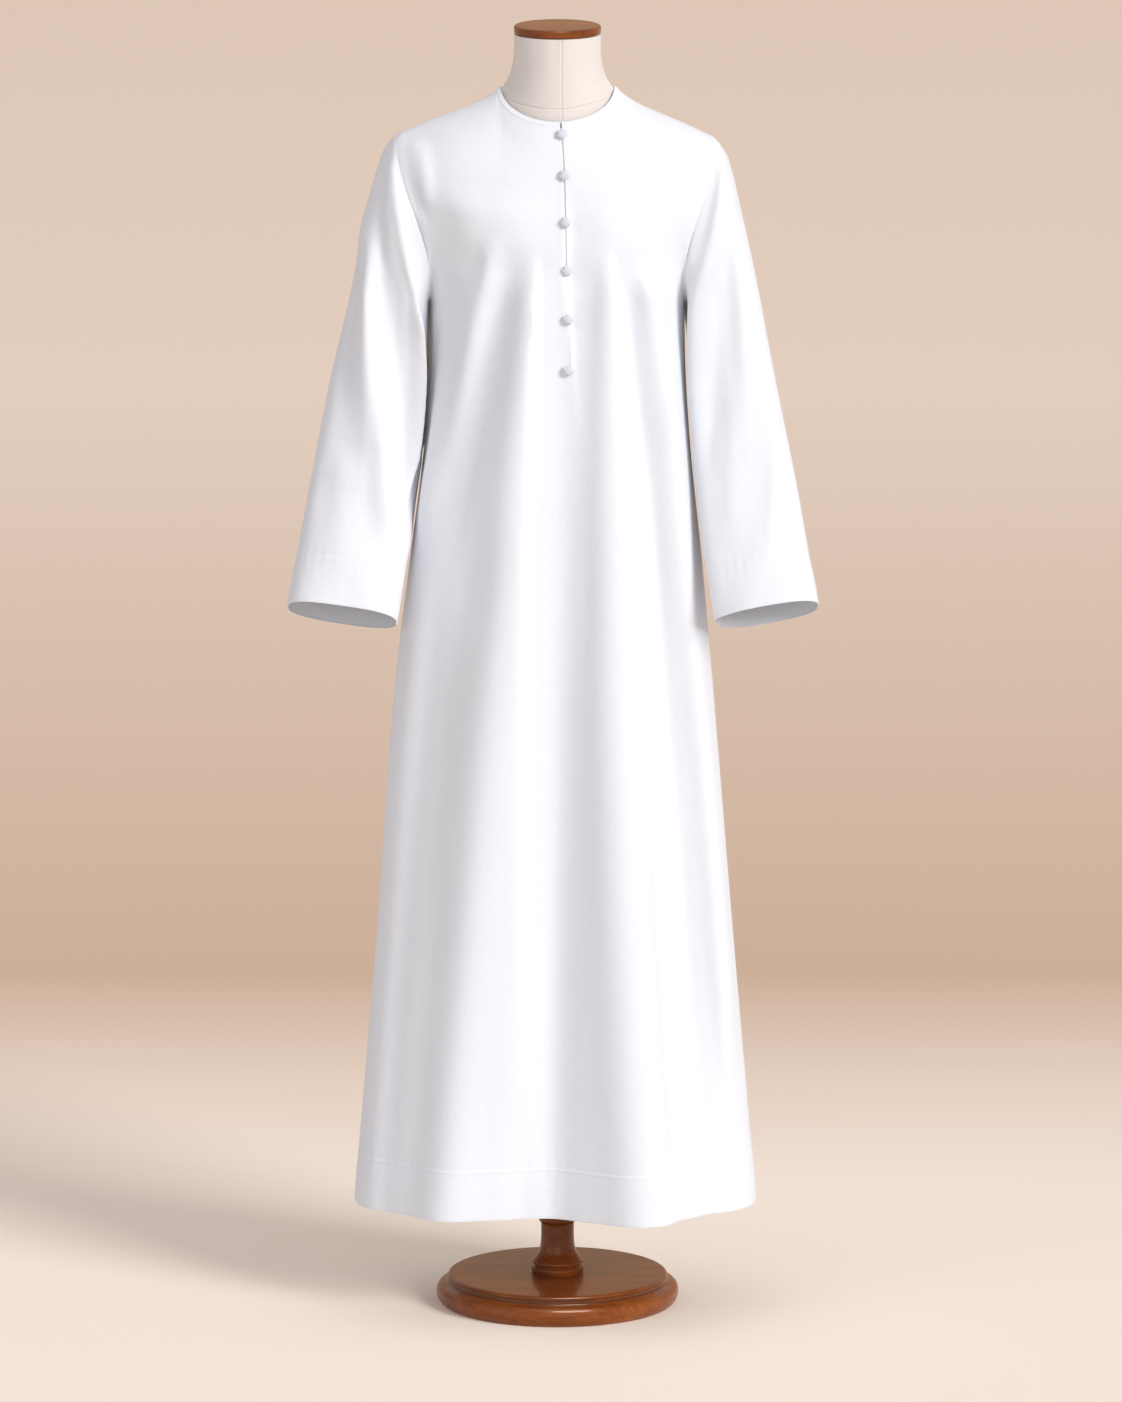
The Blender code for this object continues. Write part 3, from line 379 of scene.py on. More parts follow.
# The sleeves' own rows, on the front half of each, have places measured out from the body's middle and were
# adjusted by such a fit too
SLEEVE_CREASES = {
    "left": {
        "fold from the armhole": (
            (1.542, 1.314), (0.2158, 0.1987, 0.1694), (0.0054, 0.009),
            (-0.0016, 0.004, 0.0017), (0.02, 0.04), 0.0,
        ),
        "ridge outside that fold": (
            (1.536, 1.314), (0.2109, 0.2054, 0.1889), (0.005, 0.0129),
            (0.004, 0.0025, -0.004), (0.03, 0.05), 0.0,
        ),
    },
    "right": {
        "ridge beside the armhole": (
            (1.56, 1.327), (0.214, 0.2037, 0.1796), (0.0096, 0.005),
            (0.0021, 0.004, 0.004), (0.02, 0.04), 0.0,
        ),
        "trough outside that ridge": (
            (1.555, 1.352), (0.2053, 0.24, 0.2167), (0.0186, 0.0055),
            (-0.004, -0.004, 0.0035), (0.02, 0.04), 0.0,
        ),
    },
}

# ---------------------------------------------------------------- finer parts of the robe

TURN_HEIGHT = {"hem": 0.0655, "cuff": HEM_TURN}  # of the stitches over the edge
# Slack on a sleeve's inner side: degrees round, width in degrees, first and last share of its length, height
INNER_FULLNESS = {
    "left": ((-27, 13, 0.06, 0.68, 0.0088), (5, 13, 0.58, 0.93, 0.0058)),
    "right": ((-27, 13, 0.06, 0.68, 0.0088), (4, 13, 0.58, 0.90, 0.0042)),
}
SLACK_IN, SLACK_OUT = 0.06, 0.08  # shares of the length over which it comes and goes
SLEEVE_BACK = 0.008  # the worn sleeve hangs this far behind the solid one, from the elbow down
HANG_FROM, HANG_OVER = 0.05, 0.35  # shares of the length over which it falls back
BEFORE_SINE = -0.2  # the sine of the angle at which a sleeve's inner front begins
BY_ARMHOLE = (0.0012, 0.0035, 0.0070, 0.0120)  # extra rows at a sleeve's top, as shares of its length
BY_UNDERARM = (0.03, 0.07, 0.12)  # extra lines beside the underarm seam, in radians
UNDERARM_GAP = 0.03  # from the last of them to the even lines
HELD_BEND = 0.0004  # the bend where a crease meets the form under it
DEEP = 0.03  # below the chest the form leaves all the room that creases need
HOLD_REACH = 0.05
SIDE_FREE = 0.030  # creases die away within this distance of a side seam
ARMHOLE_FREE = 0.010  # and within this distance of the armhole on the body
SLEEVE_FREE = 0.012  # and on the sleeve
EDGE_ROLL = 0.6  # an edge turns in by this share of a seam's dip
EDGE_REACH = 0.0012
TAPE_FADE = 0.004
NECK_POINTS = 90
BINDING_SIDES = 22
BINDING_LOW, BINDING_TOP = -0.05, 1.05  # shares of the way from the panels' edge to the binding's top
BINDING_STITCH_AT = 0.30
BINDING_STITCH = 0.00030
BINDING_STITCH_REACH = 0.07
BINDING_FLAT = 0.62  # the pressed band, as a share of the solid one's thickness
UNDERLAP_DEPTH = 0.0016  # from the front's outside to the strip's
UNDERLAP_COLUMNS, UNDERLAP_ROWS = 15, 80
BUTTON_RINGS, BUTTON_SIDES = 26, 72
BUTTON_FROM = -50  # degrees below the widest ring at which the dome starts
BUTTON_SUNK = 0.766  # the sine of that angle
BUTTON_TWIST = 1.6  # radians that the gathers turn by the crown
BUTTON_GATHERS = 5
BUTTON_GATHER = 0.06  # how deep they are, as a share of the radius
BUTTON_TIP = 0.02  # the last ring's share of the widest one
BUTTON_SIZE = 0.98  # the covered knot, as a share of the solid button's radius
BUTTON_HEIGHT = 1.50  # and of its rise
STITCH_STEP = 0.0034
STITCH_LENGTH = 0.0024
STITCH_THICK = 0.00042
CLOTH_ROOM = 0.0012  # kept between the form and the outside of the robe, besides the clearance

# ---------------------------------------------------------------- finer parts of the form and its stand

SEAM_GROOVE = 0.0009
SEAM_HALF = 0.0007
SEAM_PRESS, SEAM_PRESS_AT = 0.0003, 2.4  # the turned edges beside it, and how many SEAM_HALFs away they lie
NECK_SEAM_X = 0.0062
NECK_SEAM_UP = 0.18  # the seam round the neck's foot, as a share of the neck's height at the front
NECK_SEAM_SPREAD = 78  # degrees round from the front at which it meets the neckline
BY_NECK_SEAM = (-0.0026, -0.0014, -0.0007, -0.0003, 0.0, 0.0003, 0.0007, 0.0014, 0.0026)
NECK_ROWS_FROM = 0.03  # the lowest place, as a share, of the rows that follow the seam
NECK_STEP = 0.0004  # the cover under that seam stands out by this
NECK_RIPPLE = 0.00035  # soft uneven pull of the cover under the cap
BY_FORM_SEAM = (-0.060, -0.036, -0.022, -0.012, 0.0, 0.012, 0.022, 0.036, 0.060)
FORM_SEAM_GAP = 0.004  # from the last of these columns to the even ones
FORM_NECK_STEPS, FORM_SHOULDER_STEPS = 30, 44
FORM_LOW = (0.8220, 0.8232, 0.8250, 0.8280, 0.8320, 0.8380, 0.8500)  # rows round its rolled lower edge
FORM_ROWS, YOKE_ROWS = 46, 52
NECK_ROWS_BELOW, NECK_ROWS_ABOVE = 6, 28  # rows under and over the seam round the neck's foot
SAME_PLACE = 1e-9
CAP_SIDES, POST_SIDES, FOOT_SIDES, PLATE_SIDES = 120, 64, 96, 180
CAP_BENDS = 9  # points round each of its quarter circles
PROFILE_STEPS = 5  # between a turned profile's own points

# ---------------------------------------------------------------- colours, as linear red, green and blue

COTTON_PALE, COTTON_DEEP = (0.786, 0.802, 0.842), (0.748, 0.764, 0.804)
# The buttons' cloth is the robe's cotton made greyer: painted shade for their small domes
SHADED_KNOT_PALE, SHADED_KNOT_DEEP = (0.63, 0.65, 0.71), (0.57, 0.59, 0.65)
LINEN_PALE, LINEN_DEEP = (0.755, 0.71, 0.67), (0.64, 0.585, 0.535)
WOOD_LIGHT, WOOD_MIDDLE, WOOD_DARK = (0.31, 0.084, 0.013), (0.20, 0.048, 0.0070), (0.090, 0.021, 0.004)
WOOD_TONES = ((0.30, WOOD_DARK), (0.52, WOOD_MIDDLE), (0.72, WOOD_LIGHT))  # by a noise from 0 to 1
PLATE_GROOVE_DARK = (0.030, 0.008, 0.003)
PLATE_GROOVE_RING, PLATE_GROOVE_HALF = 0.1446, 0.0011  # where the wood is darker, a narrow ring in the groove round the plate
WOOD_GLINT = (1.0, 0.62, 0.34, 1.0)
THREAD_PALE, THREAD_DEEP = (0.88, 0.88, 0.87), (0.80, 0.80, 0.80)

# ---------------------------------------------------------------- patterns

# Scales of noise, to a metre along each axis, and depths of relief in metres
COTTON_PITCH = 0.0006  # from one thread of the weave to the next
COTTON_SLUBS = (900.0, 60.0, 1.0)
COTTON_CLOUDS, COTTON_DENTS = 9.0, 70.0
DENT_DEPTH = 0.0006
LINEN_UPRIGHT, LINEN_LEVEL = (1400.0, 1400.0, 60.0), (60.0, 60.0, 1400.0)
LINEN_CLOUDS = 14.0
LINEN_DEPTH = 0.0003
WOOD_GRAIN, WOOD_BANDS = (22.0, 260.0, 260.0), (4.0, 30.0, 30.0)
WOOD_DEPTH = 0.00012
THREAD_FLECKS = 600.0

# ---------------------------------------------------------------- camera, light and floor

CAMERA_PLACE = (0.00456, -16.65, 4.09)
CAMERA_DOWN = 11.17  # degrees
LENS = 334.35
# Each lamp's strength, width in degrees, the way that its light goes, its colour and what it lights
LAMPS = (
    ("key", 2.5, 24, (-0.66, 0.60, -0.46), (1.0, 0.99, 0.98), "diffuse"),
    ("side", 0.30, 40, (0.70, 0.50, -0.30), (1.0, 1.0, 1.0), "all"),
    ("front", 0.30, 40, (0.0, 0.978, -0.208), (1.0, 1.0, 1.0), "all"),
    ("glint", 3.0, 26, (-0.16, 0.36, -0.92), (1.0, 0.97, 0.93), "glossy"),
)
# The room's light, as (share of the way from straight down to straight up, colour): all round, and behind
ROOM_ROUND = ((0.42, (0.75, 0.68, 0.64)), (0.58, (0.475, 0.465, 0.490)))
ROOM_BACK = ((0.62, (0.62, 0.40, 0.24)), (0.75, (0.82, 0.76, 0.75)))
ROOM_BACK_FROM, ROOM_BACK_TO = 0.25, 0.85  # how far a direction points back where the second takes over
FLOOR_HALF = 40.0
# The paper is pale in front of the part and deepest where it seems to bend up: painted shade, graded by
# distance behind the part
FLOOR_LIT_TONE = (0.90, 0.80, 0.70)
FLOOR_SHADED_TONE = (0.59, 0.42, 0.30)
FLOOR_PAINTED_SHADE = ((0.6, 1.0), (1.3, 0.6), (2.0, 0.0), (7.0, 0.55), (12.0, 0.4))  # by metres behind the part
# The paper gives off a faint light of its own: painted light that lifts its tone
FLOOR_GLOW = (1.0, 0.85, 0.75, 1.0)
FLOOR_GLOW_STRENGTH = 0.05

# ---------------------------------------------------------------- small formulas


def through(knots, values, at):
    """A smooth curve through the knots: cubic pieces, each knot's slope the mean of its neighbours'."""
    knots = np.asarray(knots, float)
    values = np.asarray(values, float)
    slopes = np.gradient(values, knots)
    first = np.clip(np.searchsorted(knots, at) - 1, 0, len(knots) - 2)
    span = knots[first + 1] - knots[first]
    t = np.clip((at - knots[first]) / span, 0, 1)
    start = (1 + 2 * t) * (1 - t) ** 2 * values[first] + t * (1 - t) ** 2 * span * slopes[first]
    end = t * t * (3 - 2 * t) * values[first + 1] + t * t * (t - 1) * span * slopes[first + 1]
    return start + end


def ease(t):
    """0 to 1 with a level start and end."""
    t = np.clip(t, 0, 1)
    return t * t * (3 - 2 * t)


def bell(t):
    """1 at 0, falling to nothing at both sides."""
    return np.exp(-(t**2))


def three(first, middle, last, t):
    """A smooth curve through three values at t = 0, a half and 1."""
    return first * (1 - t) * (1 - 2 * t) + 4 * middle * t * (1 - t) + last * t * (2 * t - 1)


def read(table, columns, name, at):
    """One column of a table at the given places in its first column."""
    rows = np.array(table, float)
    return through(rows[:, 0], rows[:, columns.index(name)], at)


def unit(vectors):
    """Each vector at length 1."""
    return vectors / np.maximum(np.linalg.norm(vectors, axis=-1, keepdims=True), 1e-12)


def normals(points, wrap=False):
    """Unit directions out of a grid of points, from the cross product of its two tangents."""
    along = np.gradient(points, axis=0)
    if wrap:
        padded = np.concatenate([points[:, -1:], points, points[:, :1]], axis=1)
        across = (padded[:, 2:] - padded[:, :-2]) / 2
    else:
        across = np.gradient(points, axis=1)
    return unit(np.cross(across, along))


def arc(points, axis):
    """Length along a grid's lines from its first point."""
    step = np.linalg.norm(np.diff(points, axis=axis), axis=-1)
    zero = np.zeros_like(np.take(step, [0], axis=axis))
    return np.concatenate([zero, np.cumsum(step, axis=axis)], axis=axis)


def ripple(x, y, z):
    """Faint unevenness: a sum of slow waves that cross at odd angles, between -1 and 1."""
    return sum(np.sin(a * x + b * y + c * z + start) for a, b, c, start in RIPPLE_WAVES) / len(RIPPLE_WAVES)


# ---------------------------------------------------------------- the robe's surface


def oval(u, z, face, table):
    """A point of the plain body at height z: u runs from -1 at one side seam to 1 at the other.

    An oval x = middle + a sin^p, y = depth cos^p of the angle 90 u degrees, with p = 2 / squareness.
    Also gives the share of the half width and the horizontal direction that points out of the oval.
    """
    angle = u * math.pi / 2
    squareness = read(table, BODY_COLUMNS, "squareness", z)
    half_width = read(table, BODY_COLUMNS, "half_width", z)
    depth = read(table, BODY_COLUMNS, face, z)
    share = np.sign(angle) * np.abs(np.sin(angle)) ** (2 / squareness)
    away = np.abs(np.cos(angle)) ** (2 / squareness)
    x = read(table, BODY_COLUMNS, "middle", z) + half_width * share
    y = FACE_SIGN[face] * depth * away
    out_x = np.sign(share) * np.abs(share) ** (squareness - 1) / half_width
    out_y = FACE_SIGN[face] * away ** (squareness - 1) / depth
    return np.stack([x, y, z + 0 * x], -1), share, unit(np.stack([out_x, out_y, 0 * x], -1))


def fold_rise(share, z, face):
    """How far the cloth stands out of the plain body: a sum of bell-shaped ridges and troughs."""
    rise = np.zeros_like(share)
    fade = ease((FOLD_TOP - z) / (FOLD_TOP - ARMPIT_Z))
    for row in FOLDS.values():
        fold = dict(zip(FOLD_COLUMNS, row))
        if fold["face"] == face:
            place = through(FOLD_HEIGHTS, (fold["at_hem"], fold["at_hip"], fold["at_chest"]), z)
            height = through(FOLD_HEIGHTS, (fold["hem"], fold["hip"], fold["chest"]), z)
            rise += height * bell((share - place) / fold["half_width"])
    return rise * fade * (1 - np.abs(share) ** 8)


def top_edge(u, face, neck):
    """The neckline out to NECK_SHARE, a tilted half oval, and the shoulder seam from there to the tip."""
    cut = dict(zip(NECK_COLUMNS, neck))
    side = np.sign(u)
    turn = np.clip(np.abs(u) / NECK_SHARE, 0, 1) * math.pi / 2
    along = np.clip((np.abs(u) - NECK_SHARE) / (1 - NECK_SHARE), 0, 1)
    tip_x = np.where(side > 0, SHOULDER_TIP["left"][0], SHOULDER_TIP["right"][0])
    tip_z = np.where(side > 0, SHOULDER_TIP["left"][1], SHOULDER_TIP["right"][1])
    x = side * (cut["half_width"] * np.sin(turn) + (tip_x - cut["half_width"]) * along)
    y = FACE_SIGN[face] * cut[face] * np.cos(turn)
    z = cut["height"] - cut[face + "_drop"] * np.cos(turn) + (tip_z - cut["height"]) * along
    return np.stack([x, y, z - SHOULDER_SAG * np.sin(math.pi * np.sqrt(along)) ** 2], -1)


def armhole_share(rise):
    """How far out the armhole has come at a share of its height: it stays in at first, then swings out."""
    return ease((rise - 0.18) / 0.82)


def yoke_arc(u, v, face, neck):
    """The body above the armpits: v runs from 0 at the armpit's height to 1 at the neckline or shoulder seam.

    Each column is an arc that leaves the chest upright and leans in: 90 degrees on the shoulder, less at the
    neck. At the armhole it turns into half an oval loop, so the surface swells there by the armhole's depth.
    """
    foot, _, _ = oval(u, ARMPIT_Z + 0 * u * v, face, BODY)
    head = top_edge(u + 0 * v, face, neck)
    lean = np.radians(through(LEAN_PLACES, COLUMN_LEAN[face], np.abs(u))) + 0 * v
    swing = v * lean
    at_edge = np.abs(u) ** 5
    rise = (1 - at_edge) * np.sin(swing) / np.sin(lean) + at_edge * (1 - np.cos(math.pi * v)) / 2
    back = (np.cos(swing) - np.cos(lean)) / (1 - np.cos(lean))
    swell = ARMHOLE_DEPTH * np.abs(u) ** 1.2 * np.sin(math.pi * np.clip(v, 0, 1)) ** (2 - np.abs(u) ** 3)
    x = foot[..., 0] + (head[..., 0] - foot[..., 0]) * armhole_share(rise)
    y = head[..., 1] + (foot[..., 1] - head[..., 1]) * back + FACE_SIGN[face] * swell
    z = foot[..., 2] + (head[..., 2] - foot[..., 2]) * rise
    return np.stack([x, y, z], -1)


def yoke(u, v, face, neck=PANEL_NECK):
    """The arcs above the armpits, each blended with its neighbours so that none shows as a kink.

    Weights 1, 4, 6, 4, 1 over neighbouring places. They close up at the panel's edges, which stay put.
    """
    near = YOKE_BLEND * ease(v / 0.3) * ease((1 - v) / 0.25) * ease((1 - np.abs(u)) / 0.2)
    return sum(w * yoke_arc(u + k * near, v, face, neck) for k, w in zip(range(-2, 3), (1, 4, 6, 4, 1))) / 16


def slit_shares():
    """The slit's place across the front at the chest and at the neckline, as values of u."""
    at_chest = math.asin(SLIT_X_CHEST / CHEST_HALF) / (math.pi / 2)
    at_neck = math.asin(SLIT_X_TOP / PANEL_NECK[0]) / (math.pi / 2) * NECK_SHARE
    return at_chest, at_neck


def panel_grid(columns, lower, upper, face):
    """A panel's folded surface: rows at the given heights up to the armpit, then at the given v's.

    The front's columns lean a little, so that the middle one follows the slit.
    """
    shift = np.clip(1 - np.abs(columns) / NECK_SHARE, 0, 1) if face == "front" else 0 * columns
    at_chest, at_neck = slit_shares()
    z = lower[:, None]
    u = columns[None, :] + shift[None, :] * at_chest * (z - HEM_Z) / (ARMPIT_Z - HEM_Z)
    below, share, out = oval(u, z + 0 * u, face, BODY)
    below = below + out * fold_rise(share, z + 0 * u, face)[..., None]
    v = upper[:, None]
    u = columns[None, :] + shift[None, :] * (at_chest + (at_neck - at_chest) * v)
    above = yoke(u, v, face)
    _, share, out = oval(u, ARMPIT_Z + 0 * u * v, face, BODY)
    above = above + out * fold_rise(share, above[..., 2], face)[..., None]
    return np.concatenate([below, above])


def sleeve_point(share, angle, side):
    """The sleeve's surface: share 0 at the armhole to 1 at the cuff, angle round from the inner edge.

    Each ring is an oval across from the inner to the outer edge and from front to back, squarer below the
    armhole. The first rings take the armhole's curve, and those near the cuff tilt, as a bent arm's would.
    """
    rows = SLEEVES[side]
    place = {name: read(rows, SLEEVE_COLUMNS, name, share) for name in SLEEVE_COLUMNS[1:]}
    by_armhole = 1 - ease(share / 0.12)
    power = 2 / (SLEEVE_SQUARENESS + (2 - SLEEVE_SQUARENESS) * by_armhole)
    rise = (1 - np.sign(np.cos(angle)) * np.abs(np.cos(angle)) ** power) / 2
    across = rise + (armhole_share(rise) - rise) * by_armhole
    x = place["inner_x"] + (place["outer_x"] - place["inner_x"]) * across
    forward = -place["half_depth"] * np.sign(np.sin(angle)) * np.abs(np.sin(angle)) ** power
    tilt = -forward * np.tan(np.radians(place["tilt"]))
    z = place["inner_z"] + (place["outer_z"] - place["inner_z"]) * rise + tilt
    return np.stack([SIDE_SIGN[side] * x, place["middle_y"] + forward, z], -1)


def sleeve_rise(share, angle, side):
    """Long soft folds that wander round the sleeve on their way to the cuff."""
    rise = np.zeros_like(share + angle)
    degrees = np.degrees(angle)
    for row in SLEEVE_FOLDS[side]:
        fold = dict(zip(SLEEVE_FOLD_COLUMNS, row))
        length = fold["to_share"] - fold["from_share"]
        along = (share - fold["from_share"]) / length
        middle = fold["top_angle"] + (fold["cuff_angle"] - fold["top_angle"]) * np.clip(along, 0, 1)
        fade = ease(along / 0.25) * ease((1 - along) / 0.25)
        rise += fold["height"] * fade * bell((degrees - middle) / fold["half_angle"])
    return rise


def crease_rise(creases, x, z):
    """How far the creases push the cloth out: each a bell across its line, faded at both ends."""
    rise = np.zeros(np.broadcast(x, z).shape)
    for (top, foot), places, (top_width, foot_width), rises, (top_fade, foot_fade), lean in creases.values():
        t = np.clip((top - z) / (top - foot), 0, 1)
        from_line = x - three(*places, t)
        width = top_width + (foot_width - top_width) * t
        width = width * (1 + lean * np.tanh(2 * from_line / width))
        fade = ease((top - z) / top_fade)
        if foot_fade:
            fade = fade * ease((z - foot) / foot_fade)
        rise += three(*rises, t) * fade * bell(from_line / width)
    return rise


def turn_rise(height, along, edge):
    """A stitched turn at a height above the edge: a ridge at its top, a groove above, puckers, a soft swell.

    The puckers are a sine wave along the edge whose phase and size wander with two slower ones.
    """
    from_stitch = height - TURN_HEIGHT[edge]
    wander = 1.3 * np.sin(along * 29)
    pucker = np.sin(along / PUCKER_LENGTH * 2 * math.pi + wander) * (0.6 + 0.4 * np.sin(along * 17))
    swell = TURN_SWELL * np.sin(math.pi * np.clip(height / TURN_HEIGHT[edge], 0, 1)) ** 0.8
    ridge = TURN_RIDGE[edge] * bell(from_stitch / RIDGE_REACH)
    groove = TURN_GROOVE * bell((from_stitch - GROOVE_ABOVE) / GROOVE_REACH)
    return ridge + groove + swell + PUCKER * pucker * bell(from_stitch / PUCKER_REACH)


# ---------------------------------------------------------------- meshes


def shell_quads(rows, columns, wrap, keep):
    """Faces of a closed shell between two equal grids, rimmed wherever a kept cell has no kept neighbour."""
    across = columns if wrap else columns - 1
    keep = np.ones((rows - 1, across), bool) if keep is None else keep
    r, c = np.meshgrid(np.arange(rows - 1), np.arange(across), indexing="ij")
    d = (c + 1) % columns
    corners = np.stack([r * columns + c, r * columns + d, (r + 1) * columns + d, (r + 1) * columns + c], -1)
    padded = np.zeros((rows + 1, across + 2), bool)
    padded[1:-1, 1:-1] = keep
    if wrap:
        padded[1:-1, 0] = keep[:, -1]
        padded[1:-1, -1] = keep[:, 0]
    inside = rows * columns
    quads = [corners[keep], inside + corners[keep][:, ::-1]]
    neighbours = (padded[:-2, 1:-1], padded[1:-1, 2:], padded[2:, 1:-1], padded[1:-1, :-2])
    for side, neighbour in enumerate(neighbours):
        rim = corners[keep & ~neighbour]
        a = rim[:, side]
        b = rim[:, (side + 1) % 4]
        quads.append(np.stack([b, a, inside + a, inside + b], -1))
    return np.concatenate(quads)


def facing_out(vertices, faces):
    """The faces of a closed mesh, all turned round if its signed volume is negative."""
    halves = np.concatenate([faces[:, :3], faces[:, [0, 2, 3]]]) if faces.shape[1] == 4 else faces
    triangles = vertices[halves]
    volume = (triangles[:, 0] * np.cross(triangles[:, 1], triangles[:, 2])).sum()
    return faces[:, ::-1] if volume < 0 else faces


def mesh_piece(name, vertices, face_sets, material, cut=None, sharp=50):
    """One piece from its points and sets of equal-sided faces, with places on the cut cloth as its UV map."""
    mesh = bpy.data.meshes.new(name)
    faces = [face for faces in face_sets for face in faces.tolist()]
    used = np.unique(np.concatenate([faces.ravel() for faces in face_sets]))
    place = np.zeros(len(vertices), int)
    place[used] = np.arange(len(used))
    mesh.from_pydata(vertices[used].tolist(), [], [[int(place[k]) for k in face] for face in faces])
    if cut is not None:
        corners = np.concatenate([faces.ravel() for faces in face_sets])
        mesh.uv_layers.new(name="cut").data.foreach_set("uv", cut[corners].astype(np.float32).ravel())
    mesh.materials.append(material)
    mesh.shade_smooth()
    mesh.set_sharp_from_angle(angle=math.radians(sharp))
    piece = bpy.data.objects.new(name, mesh)
    bpy.context.scene.collection.objects.link(piece)
    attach(piece, "root")
    return piece


def shell_piece(name, outer, inner, cut, material, wrap=False, keep=None):
    """A closed thin shell between two grids of points."""
    rows, columns = outer.shape[:2]
    vertices = np.concatenate([outer.reshape(-1, 3), inner.reshape(-1, 3)])
    quads = facing_out(vertices, shell_quads(rows, columns, wrap, keep))
    cut = np.concatenate([cut.reshape(-1, 2), cut.reshape(-1, 2)])
    return mesh_piece(name, vertices, [quads], material, cut)


def band(first, second):
    """Quads between two closed rings of point numbers."""
    return np.stack([first, np.roll(first, -1), np.roll(second, -1), second], -1)


def weld(vertices, face_sets):
    """Joins points in the same micrometre. A quad that loses a side becomes a triangle, or nothing."""
    _, first, place = np.unique(np.round(vertices, 6), axis=0, return_index=True, return_inverse=True)
    place = place.reshape(-1)
    kept = []
    for faces in face_sets:
        faces = place[faces]
        if faces.shape[1] == 4:
            same = faces == np.roll(faces, -1, axis=1)
            kept.append(faces[same.sum(1) == 0])
            folded = faces[same.sum(1) == 1]
            missing = same[same.sum(1) == 1].argmax(1)
            order = (missing[:, None] + np.array([1, 2, 3])) % 4
            kept.append(np.take_along_axis(folded, order, axis=1))
        else:
            kept.append(faces[(faces != np.roll(faces, -1, axis=1)).all(1)])
    return vertices[first], [faces for faces in kept if len(faces)]


def fan(ring, centre, turned):
    """Triangles from a closed ring of point numbers to one centre."""
    after = np.roll(ring, -1)
    pair = (after, ring) if turned else (ring, after)
    return np.stack([pair[0], pair[1], np.full(len(ring), centre)], -1)


def ringed_piece(name, rings, material, sharp=40):
    """A closed solid through a row of equal rings of points, with a fan of triangles at each end."""
    rows, count = rings.shape[:2]
    index = np.arange(rows * count).reshape(rows, count)
    vertices = np.concatenate([rings.reshape(-1, 3), [rings[0].mean(0), rings[-1].mean(0)]])
    quads = np.concatenate([band(index[k], index[k + 1]) for k in range(rows - 1)])
    ends = np.concatenate([fan(index[0], rows * count, True), fan(index[-1], rows * count + 1, False)])
    turned = facing_out(vertices, np.concatenate([quads[:, [0, 1, 2]], quads[:, [0, 2, 3]], ends]))
    if (turned[0] != quads[0, [0, 1, 2]]).any():
        quads, ends = quads[:, ::-1], ends[:, ::-1]
    return mesh_piece(name, vertices, [quads, ends], material, sharp=sharp)


# ---------------------------------------------------------------- the robe's pieces


def panel_columns(face):
    """Even columns from the middle to each side, with more beside the slit and at the side seams."""
    near = np.array(BY_SLIT) / (CHEST_HALF * math.pi / 2) if face == "front" else np.array([])
    first = near[-1] + STEP_ACROSS if face == "front" else STEP_ACROSS
    even = np.arange(first, 1 - BY_SEAM[-1] - STEP_ACROSS / 2, STEP_ACROSS)
    half = np.concatenate([near, even, 1 - np.array(BY_SEAM)[::-1], [1.0]])
    middle = [] if face == "front" else [0.0]
    return np.concatenate([-half[::-1], middle, half])


def panel_rows():
    """Heights from hem to armpit, more by the hem's edge and stitches, and v's from there to the shoulder.

    The v's are even, with more by the shoulder seam.
    """
    turn = HEM_Z + TURN_HEIGHT["hem"] + np.array(BY_TURN)
    edge = HEM_Z + np.array((0.0,) + BY_EDGE)
    even = np.arange(HEM_Z, ARMPIT_Z - STEP_DOWN / 2, STEP_DOWN)
    clear = np.abs(even - HEM_Z - TURN_HEIGHT["hem"]) > BY_TURN[-1] + STEP_DOWN / 2
    clear &= even > edge[-1] + STEP_DOWN / 4
    upper = np.arange(UPPER_STEPS) / UPPER_STEPS * (1 - BY_SEAM[-1])
    upper = np.concatenate([upper, 1 - np.array(BY_SEAM)[::-1], [1.0]])
    return np.sort(np.concatenate([edge, turn, even[clear]])), upper


def form_room(u, v):
    """The plain robe's clearance over the form at a column and a share of the way from chest to shoulder."""
    clear = FORM_CLEAR_SHOULDER + (FORM_CLEAR_CHEST - FORM_CLEAR_SHOULDER) * (1 - v) ** FORM_CLEAR_POWER
    return clear + FORM_CLEAR_NECK * ease(0.5 + (NECK_SHARE - np.abs(u)) / (2 * NECK_CLEAR_BLEND))


def held_creases(face, u, v, points):
    """The creases at points of a panel, with the cloth's faint unevenness.

    From the chest up the cloth lies on the form, so there none sinks further than the room under it: the two
    meet in a short smooth bend.
    """
    x, y, z = np.moveaxis(points, -1, 0)
    floor = -form_room(u, v) - DEEP * (1 - ease((z - ARMPIT_Z + HOLD_REACH) / HOLD_REACH))
    rise = crease_rise(CREASES[face], x, z) + RIPPLE * ripple(x, y, z)
    return floor + HELD_BEND * np.logaddexp(0, (rise - floor) / HELD_BEND)


